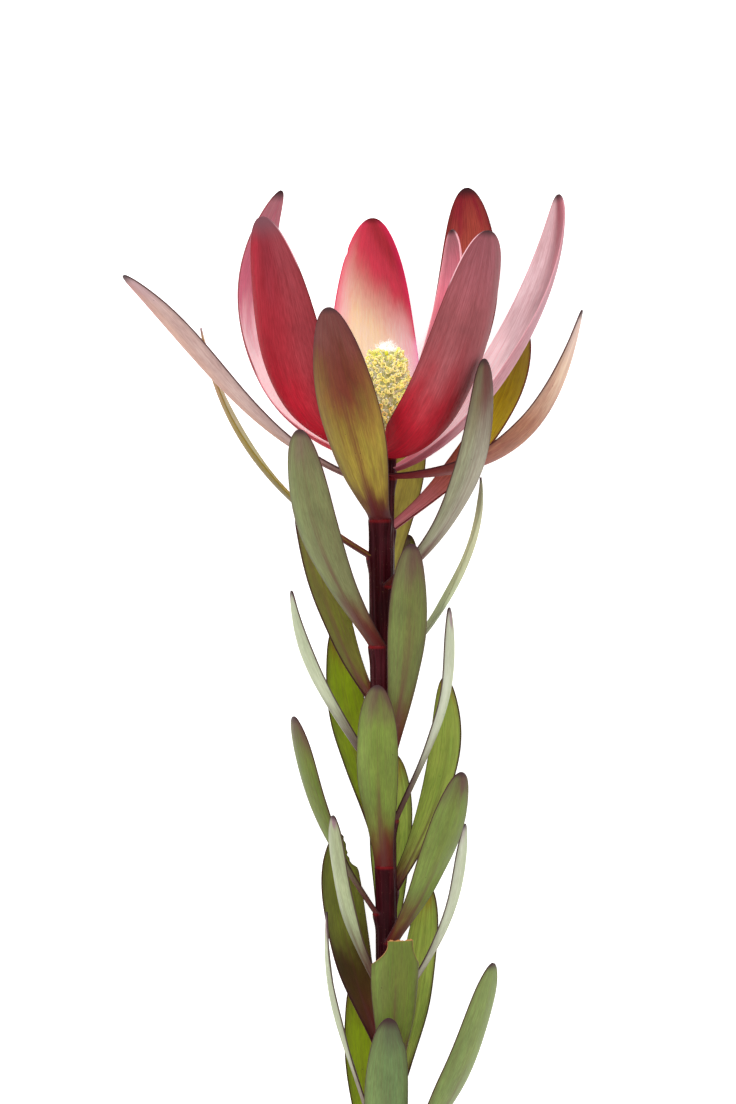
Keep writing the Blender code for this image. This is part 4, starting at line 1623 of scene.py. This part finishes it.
@dataclass(frozen=True)
class FloretFinish:
    """A soft finish that changes from a small form's foot to its mouth, throat and end, and glows
    as painted light.
    """

    name: str
    foot: Hue
    mouth: Hue
    throat: Hue
    knob: Hue | None = None
    # lift: painted light; the form emits its own colour at this strength.
    lift: float = 0.18
    specular: float = 0.2

    MOUTH = (0.1, 0.4)
    THROAT = (0.56, 0.68)
    KNOB = (0.78, 0.84)
    # Cells a metre, octaves, and the values between which it rises.
    TONE = (420.0, 2.0, 0.3, 0.7)
    TONE_SHARE = 0.3
    ROUGHNESS = (0.2, 0.5)

    def material(self) -> Material:
        """Builds the material.

        Returns:
            The material.
        """
        material, bench, shader = Bench.material(self.name)
        _, along = bench.chart("FloretMap")
        colour = self.foot
        for hue, band in ((self.mouth, self.MOUTH), (self.throat, self.THROAT),
                          (self.knob or self.throat, self.KNOB)):
            colour = bench.mix(bench.ease(along, *band), colour, hue)
        tone = bench.cloud(bench.spot(), *self.TONE)
        colour = bench.tint(colour, Hue.WOOL, tone, self.TONE_SHARE)
        # Painted glow: the form emits its own colour by the lift.
        bench.fill(shader, Base_Color=colour, Emission_Color=colour,
                   Emission_Strength=self.lift, Roughness=bench.scale(tone, *self.ROUGHNESS),
                   Specular_IOR_Level=self.specular)
        return material


class ConeSkin(Enum):
    """The finishes of the cone's forms, in the order of its material slots."""

    # The open florets' throats are painted dark, as shade in their hollows.
    FLORET = FloretFinish("floret_skin", Hue.FLORET_GREEN, Hue.FLORET_YELLOW,
                          Hue.THROAT_SHADE, Hue.FLORET_YELLOW)
    BUD = FloretFinish("bud_skin", Hue.FLORET_GREEN, Hue.BUD_GREEN, Hue.BUD_GREEN)
    SCALE = FloretFinish("scale_skin", Hue.CORE_GREEN, Hue.CORE_GREEN, Hue.WOOL)
    WOOL = FloretFinish("wool_hair", Hue.WOOL, Hue.WOOL, Hue.WOOL)
    HOOK = FloretFinish("hook_skin", Hue.FLORET_GREEN, Hue.FLORET_YELLOW, Hue.FLORET_YELLOW)
    LOW_FLORET = FloretFinish("low_floret_skin", Hue.FLORET_GREEN, Hue.FLORET_GOLD,
                              Hue.THROAT_SHADE, Hue.FLORET_GOLD)

    @property
    def slot(self) -> int:
        """Gives its material slot."""
        return list(ConeSkin).index(self)


@dataclass(frozen=True)
class Hair:
    """One kind of woolly hair on the cone.

    Attributes:
        count: How many there are.
        shares: Between which shares of the cone's height they stand.
        inward: How far in from the cone's side they may stand, as a share of its radius.
        lengths: Their shortest and longest.
        bend: How much they stray.
        thick: How thick their feet are.
    """

    count: int
    shares: Pair
    inward: float
    lengths: Pair
    bend: float
    thick: float

    RINGS = 4
    TAPER = 0.7
    SWEEP = 0.6
    CORNERS = ((1.0, 0.0), (-0.5, 0.87), (-0.5, -0.87))


@dataclass(frozen=True)
class FlowerCone:
    """The cone of curled florets, woolly scales and hairs."""

    node: str = "flower_cone"
    foot: float = 336.9
    height: float = 33.0
    radius: float = 7.4
    shift: float = 1.6
    foot_share: float = 0.72
    foot_until: float = 0.25
    dome_from: float = 0.35
    dome_blunt: float = 3.1
    shares: Pair = (0.02, 0.985)
    seat_step: float = 0.01
    seat_rise: float = 0.35
    core_rows: int = 60
    core_sides: int = 64
    core_sink: float = 0.45
    core_lumps: float = 0.16
    core_waves: tuple[Pair, ...] = ((11.0, 60.0), (7.0, -75.0))
    core_start: float = 0.003
    core_span: float = 0.994
    core_thinnest: float = 0.05
    core_tint_power: int = 5
    florets: int = 150
    sides: int = 16
    lobes: int = 4
    floret_from: float = 0.03
    floret_lean: float = 0.28
    floret_sizes: Pair = (0.76, 1.06)
    floret_stray: float = 0.25
    most_spin: float = 1.6
    bud_from: float = 0.77
    bud_chance: float = 0.7
    gold_until: float = 0.42
    gold_spread: Pair = (0.5, 1.2)
    cap_from: float = 0.9
    scale_drop: float = 0.03
    scale_turn: float = 0.17
    scale_tilt: float = 0.5
    scale_size: float = 0.95
    scale_squash: float = 0.7
    hooks: int = 400
    hook_rows: int = 10
    hook_sides: int = 6
    hook_shares: Pair = (0.02, 0.9)
    hook_lean: float = 0.2
    hook_sizes: Pair = (0.8, 1.2)
    hook_bend: float = 230.0
    hook_bend_span: Pair = (0.15, 1.15)
    hook_stalk: float = 1.25
    hook_stalk_until: float = 0.35
    hook_curl: float = 0.5
    hook_thick: float = 0.2
    hook_swell: float = 0.08
    hook_knob_from: float = 0.8
    hook_breadth: float = 1.2
    hairs: tuple[Hair, ...] = (Hair(1000, (0.05, 0.9), 0.0, (1.5, 2.6), 0.45, 0.12),
                               Hair(360, (0.9, 0.985), 0.9, (1.0, 1.7), 0.6, 0.15))
    seed: int = 23
    # Radius, height and lobe of each ring.
    open_profile: tuple[Triple, ...] = (
        (0.36, -1.3, 0.0), (0.4, 0.1, 0.0), (0.45, 0.6, 0.02), (0.6, 0.95, 0.08),
        (0.86, 1.05, 0.12), (1.04, 0.98, 0.17), (1.12, 1.1, 0.18), (1.0, 1.28, 0.14),
        (0.82, 1.32, 0.09), (0.68, 1.18, 0.04), (0.6, 0.9, 0.0), (0.46, 0.4, 0.0),
        (0.12, 0.35, 0.0), (0.09, 0.85, 0.0), (0.15, 1.0, 0.0), (0.11, 1.12, 0.0),
        (0.015, 1.15, 0.0))
    bud_profile: tuple[Triple, ...] = (
        (0.4, -1.2, 0.0), (0.52, 0.4, 0.0), (0.62, 1.1, 0.03), (0.72, 1.8, 0.05),
        (0.66, 2.25, 0.05), (0.4, 2.5, 0.02), (0.015, 2.56, 0.0))
    scale_profile: tuple[Triple, ...] = (
        (0.75, -0.9, 0.0), (0.8, -0.1, 0.0), (0.72, 0.25, 0.02), (0.46, 0.5, 0.03),
        (0.2, 0.62, 0.0), (0.015, 0.65, 0.0))

    def profile(self, share: np.ndarray) -> np.ndarray:
        """Gives the cone's radius.

        Args:
            share: Shares of its height.

        Returns:
            Radii in millimetres.
        """
        swell = (1.0 - self.foot_share) * smooth_step(0.0, self.foot_until, share)
        past = (np.asarray(share, float) - self.dome_from) / (1.0 - self.dome_from)
        dome = np.clip(past, 0.0, 1.0) ** self.dome_blunt
        return self.radius * (self.foot_share + swell) * np.sqrt(np.clip(1.0 - dome, 0.0, 1.0))

    def stand(self) -> np.ndarray:
        """Gives the middle of the cone's foot."""
        return stem_centre(self.foot) + np.array((self.shift, 0.0, 0.0))

    def build(self, place: Matrix) -> bpy.types.Object:
        """Makes the cone's piece.

        Args:
            place: The matrix that lays the plant down.

        Returns:
            The piece.
        """
        dice = np.random.default_rng(self.seed)
        draft = MeshDraft(("FloretMap",))
        self._core(draft)
        self._florets(draft, dice)
        for _ in range(self.hooks):
            self._hook(draft, dice)
        for kind in self.hairs:
            for _ in range(kind.count):
                self._hair(draft, dice, kind)
        materials = [skin.value.material() for skin in ConeSkin]
        return draft.build(f"{self.node}_florets", materials, place)

    def _seat(self, share: float, azimuth: float) -> tuple[np.ndarray, np.ndarray]:
        """Finds a place on the cone's core and the way that a floret leaves it.

        Args:
            share: Share of the cone's height.
            azimuth: Angle round it.

        Returns:
            The place and the direction.
        """
        low, high = self.shares
        share = min(max(share, low), high)
        around = np.array((math.sin(azimuth), -math.cos(azimuth), 0.0))
        pair = self.profile(np.array((share - self.seat_step, share + self.seat_step)))
        slope = float(pair[1] - pair[0]) / (2.0 * self.seat_step * self.height)
        out = around + np.array((0.0, 0.0, self.seat_rise - slope))
        spot = self.stand() + np.array((0.0, 0.0, share * self.height))
        place = spot + (float(self.profile(np.array(share))) - self.core_sink) * around
        return place, out / np.linalg.norm(out)

    def _core(self, draft: MeshDraft) -> None:
        """Adds the lumpy core.

        Args:
            draft: The mesh.
        """
        share = 0.5 - 0.5 * np.cos(np.linspace(0.0, math.pi, self.core_rows))
        share, turn = np.meshgrid(self.core_start + self.core_span * share,
                                  np.linspace(0.0, math.tau, self.core_sides + 1),
                                  indexing="ij")
        lumps = self.core_lumps
        for rounds, drift in self.core_waves:
            lumps = lumps * np.sin(rounds * turn + drift * share)
        radius = self.profile(share) - self.core_sink + lumps
        radius = np.maximum(radius, self.core_thinnest)
        points = self.stand() + np.stack(
            [radius * np.sin(turn), -radius * np.cos(turn), share * self.height], axis=-1)
        pairs = np.stack([turn / math.tau, share**self.core_tint_power], axis=-1)
        slot = ConeSkin.SCALE.slot
        draft.add(points[:, :-1], ring_faces(self.core_rows, self.core_sides),
                  {"FloretMap": ring_chart(pairs)}, slot)
        draft.close(points[0, :-1], {"FloretMap": (0.5, 0.0)}, slot, True, 0.0)
        draft.close(points[-1, :-1], {"FloretMap": (0.5, 1.0)}, slot, False, 0.0)

    def _florets(self, draft: MeshDraft, dice: np.random.Generator) -> None:
        """Adds the open florets, the buds above them and a woolly scale under each.

        Args:
            draft: The mesh.
            dice: The seeded source of chance.
        """
        number = np.arange(self.florets)
        step = (self.cap_from - self.floret_from) * (number + 0.5) / self.florets
        azimuths = np.radians(GOLDEN_ANGLE) * number
        for share, azimuth in zip((self.floret_from + step).tolist(), azimuths.tolist()):
            seat, out = self._seat(share, azimuth)
            out = out + dice.normal(0.0, self.floret_lean, 3)
            bud = share > self.bud_from and dice.uniform() < self.bud_chance
            size = dice.uniform(*self.floret_sizes)
            seat = seat + self.floret_stray * dice.normal(0.0, 1.0) * out
            skin = ConeSkin.BUD
            if not bud:
                gold = share < self.gold_until * dice.uniform(*self.gold_spread)
                skin = ConeSkin.LOW_FLORET if gold else ConeSkin.FLORET
            self._turned(draft, self.bud_profile if bud else self.open_profile, seat, out,
                         size, skin, spin=float(dice.uniform(0.0, self.most_spin)))
            low, low_out = self._seat(share - self.scale_drop, azimuth + self.scale_turn)
            self._turned(draft, self.scale_profile, low, low_out + (0.0, 0.0, self.scale_tilt),
                         self.scale_size * size, ConeSkin.SCALE, squash=self.scale_squash)

    def _turned(self, draft: MeshDraft, profile: tuple[Triple, ...],
                seat: np.ndarray, out: np.ndarray, size: float, skin: ConeSkin,
                spin: float = 0.0, squash: float = 1.0) -> None:
        """Adds one turned form, such as a floret, with four lobes at its mouth.

        Args:
            draft: The mesh.
            profile: Radius, height and lobe of each ring.
            seat: The form's foot.
            out: The way it points.
            size: Its scale.
            skin: Its finish.
            spin: Its turn about its own axis.
            squash: Its height beside its width.
        """
        out = out / np.linalg.norm(out)
        right, up = side_axes(out)
        rings = np.array(profile)
        turn = np.linspace(0.0, math.tau, self.sides + 1) + spin
        lobes = rings[:, 2:] * np.cos(self.lobes * (turn[None] - spin))
        radius = size * (rings[:, :1] + lobes)
        points = (seat + radius[..., None] * (np.cos(turn)[:, None] * right
                                              + squash * np.sin(turn)[:, None] * up)
                  + (size * rings[:, 1])[:, None, None] * out)
        chart = share_chart(np.linspace(0.0, 1.0, len(rings)), self.sides)
        draft.add(points[:, :-1], ring_faces(len(rings), self.sides), {"FloretMap": chart},
                  skin.slot)
        draft.close(points[0, :-1], {"FloretMap": (0.5, 0.0)}, skin.slot, True)
        draft.close(points[-1, :-1], {"FloretMap": (0.5, 1.0)}, skin.slot, False)

    def _hook(self, draft: MeshDraft, dice: np.random.Generator) -> None:
        """Adds one curled petal lobe, which rises and bends over into a hook.

        Args:
            draft: The mesh.
            dice: The seeded source of chance.
        """
        seat, out = self._seat(float(dice.uniform(*self.hook_shares)),
                               float(dice.uniform(0.0, math.tau)))
        out = out + dice.normal(0.0, self.hook_lean, 3)
        spin = float(dice.uniform(0.0, math.tau))
        size = float(dice.uniform(*self.hook_sizes))
        out = out / np.linalg.norm(out)
        right, up = side_axes(out)
        aside = math.cos(spin) * right + math.sin(spin) * up
        across = np.cross(aside, out)
        share = np.linspace(0.0, 1.0, self.hook_rows)
        bend = math.radians(self.hook_bend) * smooth_step(*self.hook_bend_span, share)
        stalk = self.hook_stalk * np.clip(share / self.hook_stalk_until, 0.0, 1.0)
        curl = self.hook_curl * (share > 0.0)
        line = (seat + size * ((stalk + curl * np.sin(bend))[:, None] * out
                               + (curl * (1.0 - np.cos(bend)))[:, None] * aside))
        normal = np.cos(bend)[:, None] * aside - np.sin(bend)[:, None] * out
        thick = size * (self.hook_thick + self.hook_swell * np.sin(math.pi * share)
                        + self.hook_swell * (share > self.hook_knob_from))
        turn = np.linspace(0.0, math.tau, self.hook_sides + 1)
        spread = (np.cos(turn)[None, :, None] * normal[:, None]
                  + self.hook_breadth * np.sin(turn)[None, :, None] * across)
        points = line[:, None] + thick[:, None, None] * spread
        slot = ConeSkin.HOOK.slot
        draft.add(points[:, :-1], ring_faces(self.hook_rows, self.hook_sides)[:, ::-1],
                  {"FloretMap": share_chart(share, self.hook_sides)[:, ::-1]}, slot)
        draft.close(points[0, :-1], {"FloretMap": (0.5, 0.0)}, slot, False)
        draft.close(points[-1, :-1], {"FloretMap": (0.5, 1.0)}, slot, True)

    def _hair(self, draft: MeshDraft, dice: np.random.Generator, kind: Hair) -> None:
        """Adds one three-sided hair.

        Args:
            draft: The mesh.
            dice: The seeded source of chance.
            kind: The hair's kind.
        """
        share = float(dice.uniform(*kind.shares))
        seat, out = self._seat(share, float(dice.uniform(0.0, math.tau)))
        if kind.inward:
            off_axis = seat - self.stand() - (0.0, 0.0, share * self.height)
            seat = seat - off_axis * float(dice.uniform(0.0, kind.inward))
        length = float(dice.uniform(*kind.lengths))
        bend = dice.normal(0.0, kind.bend, 3)
        steps = np.linspace(0.0, 1.0, kind.RINGS)[:, None]
        line = seat + length * steps * out + length * steps**2 * kind.SWEEP * bend
        thick = kind.thick * (1.0 - kind.TAPER * steps)
        right, up = side_axes(out)
        ring = np.array([x * right + y * up for x, y in kind.CORNERS])
        points = line[:, None] + thick[:, None] * ring[None]
        faces = ring_faces(*points.shape[:2])
        middle = {"FloretMap": (0.5, 0.5)}
        slot = ConeSkin.WOOL.slot
        draft.add(points, faces, {"FloretMap": np.full((faces.size, 2), 0.5)}, slot)
        draft.close(points[-1], middle, slot, False)
        draft.close(points[0], middle, slot, True)


@dataclass(frozen=True)
class Lamp:
    """A square soft light: where it hangs and its side in metres, and its power in watts."""

    name: str
    spot: Triple
    size: float
    power: float

    def build(self, aim: Triple) -> None:
        """Hangs the light so that it looks at a point.

        Args:
            aim: The point.
        """
        light = bpy.data.lights.new(self.name, "AREA")
        light.size = self.size
        light.energy = self.power
        lamp = bpy.data.objects.new(self.name, light)
        bpy.context.scene.collection.objects.link(lamp)
        lamp.location = self.spot
        way = Vector(aim) - Vector(self.spot)
        lamp.rotation_euler = way.to_track_quat("-Z", "Y").to_euler()


@dataclass(frozen=True)
class Studio:
    """The white floor, the soft lights and the camera."""

    floor_size: float = 6.0
    floor_tones: Pair = (0.93, 0.97)
    floor_cells: float = 3.0
    floor_octaves: float = 2.0
    floor_roughness: float = 0.9
    floor_specular: float = 0.1
    floor_glow: float = 0.6
    sky_strength: float = 0.95
    lamps: tuple[Lamp, ...] = (Lamp("key_light", (-0.55, 0.55, 1.15), 0.9, 11.0),
                               Lamp("fill_light", (0.75, -0.25, 1.0), 1.1, 4.0))
    aim: Triple = (0.0, 0.05, 0.04)
    camera_place: Triple = (-5.6, -1250.0, 296.8)
    view_height: float = 386.4
    sensor: float = 36.0
    clip: Pair = (0.05, 20.0)

    def build(self, place: Matrix) -> None:
        """Sets up the studio.

        Args:
            place: The matrix that lays the plant down.
        """
        self._floor()
        self._sky()
        for lamp in self.lamps:
            lamp.build(self.aim)
        self._camera(place)
        bpy.context.scene.view_settings.view_transform = "Standard"
        LOG.info("studio ready")

    def _floor(self) -> None:
        """Adds the pale floor."""
        mesh = bpy.data.meshes.new("floor")
        half = 0.5 * self.floor_size
        corners = [(-half, -half, 0.0), (half, -half, 0.0), (half, half, 0.0), (-half, half, 0.0)]
        mesh.from_pydata(corners, [], [(0, 1, 2, 3)])
        material, bench, shader = Bench.material("pale_floor")
        tone = bench.noise(bench.spot(), self.floor_cells, self.floor_octaves)
        colour = bench.mix(tone, *(grey(level) for level in self.floor_tones))
        bench.fill(shader, Base_Color=colour, Roughness=self.floor_roughness,
                   Specular_IOR_Level=self.floor_specular, Emission_Color=grey(1.0),
                   Emission_Strength=self.floor_glow)
        mesh.materials.append(material)
        floor = bpy.data.objects.new("floor", mesh)
        bpy.context.scene.collection.objects.link(floor)

    def _sky(self) -> None:
        """Adds an even white surround."""
        world = bpy.data.worlds.new("white_room")
        world.use_nodes = True
        back = world.node_tree.nodes["Background"]
        Bench(world.node_tree).fill(back, Color=grey(1.0), Strength=self.sky_strength)
        bpy.context.scene.world = world

    def _camera(self, place: Matrix) -> None:
        """Adds the camera, square to the plant as it was photographed.

        Args:
            place: The matrix that lays the plant down.
        """
        data = bpy.data.cameras.new("camera")
        data.sensor_width = self.sensor
        data.lens = self.sensor * abs(self.camera_place[1]) / self.view_height
        data.clip_start, data.clip_end = self.clip
        camera = bpy.data.objects.new("camera", data)
        bpy.context.scene.collection.objects.link(camera)
        look = Matrix.Rotation(math.radians(90.0), 4, "X")
        camera.matrix_world = place @ Matrix.Translation(MM * Vector(self.camera_place)) @ look
        bpy.context.scene.camera = camera


RED, PINK, BROWN = Slot.BRACT_RED, Slot.BRACT_PINK, Slot.BRACT_BROWN
OLIVE_BRACT, OLIVE, GREEN = Slot.BRACT_OLIVE, Slot.LEAF_OLIVE, Slot.LEAF_GREEN

# Each row gives, in the order of Blade's fields, the node, height, azimuth, reach, rise, side,
# width, base, widest and swell, then depart, arrive, bow, cup, twist, blunt, slot and finish.
BRACTS = (
    Blade("bract_inner_right", 335.3, 110, 25.5, 75, -2, 28.5, 7, 0.44, 1.1,
          65, -22, 0.31, 12.3, 4, 1.6, RED, Finish.INNER_RIGHT),
    Blade("bract_back_middle", 334.4, 181, 39, 83, 2.5, 35, 8, 0.46, 1.0,
          75, -6, 0.43, 22, -15, 1.7, RED, Finish.BACK_MIDDLE,
          bites=(Bite(1, 0.875, 0.905, 0.05),)),
    Blade("bract_front_right", 330, 40, 52, 76, 3.5, 33.5, 9, 0.38, 0.4,
          98, -2, 0.32, 15.5, 0, 2.1, RED, Finish.FRONT_RIGHT),
    Blade("bract_front_left", 330, -57, 50.5, 81.5, 2, 36, 9, 0.49, 0.55,
          79, 12, 0.46, 24, 18, 1.65, RED, Finish.FRONT_LEFT),
    Blade("bract_back_right", 329.6, 146, 56, 99.5, 0.5, 29, 8, 0.55, 1.2,
          66, -18, 0.44, 18, 6, 2.2, RED, Finish.BACK_RIGHT),
    Blade("bract_back_left", 328.8, -134, 50, 98, 0, 26.5, 8, 0.47, 1.1,
          84, -44, 0.49, 17, 9, 1.8, RED, Finish.BACK_LEFT),
    Blade("bract_right", 325.2, 108.5, 66.5, 99, 0.3, 28, 8, 0.47, 1.2,
          76, -9.5, 0.29, 13.8, 9, 1.7, PINK, Finish.RIGHT),
    Blade("bract_outer_right", 322.8, 75, 71.5, 57.5, 0, 22.5, 8, 0.51, 1.25,
          90, 10.5, 0.49, 11, 2, 1.5, BROWN, Finish.OUTER_RIGHT),
    Blade("bract_outer_left", 320.2, -82, 90.5, 72.5, 0, 22, 7.5, 0.64, 1.6,
          70, 43, 0.4, 16.5, 12, 2.2, BROWN, Finish.OUTER_LEFT),
    Blade("bract_front_middle", 308, -12, 47, 71.5, -8.5, 23.5, 9, 0.56, 1.6,
          61, 11, 0.33, 26.5, -18, 1.8, OLIVE_BRACT, Finish.FRONT_MIDDLE),
    Blade("bract_low_right", 304.3, 129, 65.5, 71.5, -2.5, 20, 7.5, 0.54, 1.5,
          60, 11, 0.4, 16, 0, 2.2, OLIVE_BRACT, Finish.LOW_RIGHT),
)

LEAVES = (
    Blade("leaf_01", 295, -101, 65, 81, 0, 15, 7.8, 0.59, 1.5,
          60, 9, 0.38, 14, 10, 2.4, OLIVE, Finish.OLIVE_LEAF),
    Blade("leaf_02", 285, 51, 45, 78, 0, 15.5, 7.3, 0.64, 1.9,
          54, -5, 0.4, 15, -4, 2.3, GREEN, Finish.GLAUCOUS_LEAF),
    Blade("leaf_03", 275.5, 181, 33.5, 70.5, -12.5, 14, 7.5, 0.6, 1.7,
          33, 11, 0.4, 16, 0, 2.4, GREEN, Finish.STRAW_LEAF),
    Blade("leaf_04", 264, -37, 47, 74.5, 0, 17, 8.3, 0.64, 1.6,
          45, 5, 0.41, 17, 10, 2.5, GREEN, Finish.DULL_LEAF),
    Blade("leaf_05", 256.6, 100, 35, 66.5, 0, 15.5, 7.3, 0.54, 1.8,
          47, -10, 0.32, 14, -9, 2.2, GREEN, Finish.THIN_LEAF),
    Blade("leaf_06", 243.5, -124, 35.5, 68.5, 0, 17.5, 7.4, 0.55, 1.55,
          39, 16, 0.32, 15.5, -11, 2.4, OLIVE, Finish.FOLDED_LEAF),
    Blade("leaf_07", 225.7, 26, 21.5, 74, 0, 15, 7.3, 0.64, 1.95,
          27, 3, 0.43, 16, -4, 2.5, GREEN, Finish.BROWN_LEAF),
    Blade("leaf_08", 232, 160, 26.5, 71, 0, 13.5, 7.5, 0.58, 1.7,
          30, 9, 0.41, 16, -5, 2.3, GREEN, Finish.DULL_LEAF),
    Blade("leaf_09", 219, -69, 34.5, 64.5, 0, 15, 7.5, 0.54, 1.7,
          32, 2, 0.39, 14.5, -5, 2.2, GREEN, Finish.PALE_SHEEN_LEAF),
    Blade("leaf_10", 203, 83, 22.5, 74.5, 0, 14.5, 7, 0.63, 1.6,
          24, -8, 0.44, 14, -10, 2.6, GREEN, Finish.PALE_SHEEN_LEAF),
    Blade("leaf_11", 193.5, -151, 36, 77, 0, 16, 7, 0.56, 1.8,
          28, 7, 0.44, 16, -1, 2.4, GREEN, Finish.LIT_LEAF),
    Blade("leaf_12", 187, -10, 20, 64, 0.5, 15, 7.5, 0.6, 1.7,
          25, -6, 0.42, 15.5, 7, 2.7, GREEN, Finish.GREEN_LEAF),
    Blade("leaf_13", 178, 128, 26.5, 74.5, 0, 18, 7.5, 0.6, 1.7,
          35, -16, 0.4, 16, 0, 2.4, GREEN, Finish.SUNLIT_LEAF),
    Blade("leaf_14", 170.5, -84, 32.5, 69, 0, 17.5, 6.8, 0.62, 1.9,
          34, 6, 0.43, 12.5, 22, 2.4, GREEN, Finish.MOSS_LEAF),
    Blade("leaf_15", 160.5, 43, 37.5, 61, 0, 16, 7.4, 0.6, 1.65,
          40, 14, 0.39, 16.5, -8, 2.4, GREEN, Finish.GREEN_LEAF),
    Blade("leaf_16", 152.2, 175, 25, 73, 0, 15.5, 7.2, 0.67, 1.9,
          23, 8, 0.42, 16, 3, 2.4, GREEN, Finish.SUNLIT_LEAF),
    Blade("leaf_17", 145.1, -57, 22.5, 60.5, 0.5, 11, 6, 0.67, 2.1,
          29, 2, 0.4, 14, -2, 2.4, GREEN, Finish.SAGE_LEAF),
    Blade("leaf_18", 138, 83, 27.5, 64, 0, 15.5, 7.5, 0.61, 1.7,
          35, -2, 0.41, 14, -10, 2.4, GREEN, Finish.PALE_SHEEN_LEAF),
    Blade("leaf_19", 123.2, -139, 25.5, 74, 0, 18.5, 7.7, 0.59, 1.4,
          31, -6, 0.38, 18.5, -10, 2.4, GREEN, Finish.DARK_LEAF,
          bites=(Bite(-1, 0.84, 1.0, 0.4),)),
    Blade("leaf_20", 108, 12, 20.5, 76, 0, 18, 7.9, 0.61, 1.8,
          27, 8, 0.41, 16, 1, 2.4, GREEN, Finish.TORN_LEAF, torn=True),
    Blade("leaf_21", 101.2, 142, 25, 77, 0, 15.5, 7.4, 0.61, 1.8,
          20, 5, 0.43, 16, -1, 2.3, GREEN, Finish.SUNLIT_LEAF),
    Blade("leaf_22", 91.5, -87, 20.5, 79.5, 0, 14, 7, 0.62, 1.75,
          14, -4, 0.45, 14, 0, 2.4, GREEN, Finish.PALE_SHEEN_LEAF),
    Blade("leaf_23", 80, 55, 45, 76, 0, 19, 7.5, 0.53, 1.65,
          44, 10, 0.39, 16.5, -4, 2.3, GREEN, Finish.LOW_LEAF),
    Blade("leaf_24", 71.2, -157, 26.5, 72.5, 0, 14.5, 7.5, 0.62, 1.7,
          26, 12, 0.39, 15.5, 5, 2.4, GREEN, Finish.LIT_LEAF),
    Blade("leaf_25", 62, 0, 21.5, 74.5, 1.5, 16, 8, 0.62, 1.7,
          23, 9, 0.4, 14.5, 6, 2.4, GREEN, Finish.BLUE_LEAF,
          bites=(Bite(1, 0.88, 0.98, 0.1),)),
)


def main() -> None:
    logging.basicConfig(level=logging.INFO, format="%(message)s")
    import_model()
    place = plant_matrix()
    effects = Effects()
    blades = BRACTS + LEAVES
    stem = MainStem()
    dress(stem.build(blades, place), stem.node)
    cone = FlowerCone()
    dress(cone.build(place), cone.node)
    for blade in blades:
        dress(blade.build(effects, place), blade.node)
    Studio().build(place)


if __name__ == "__main__":
    main()
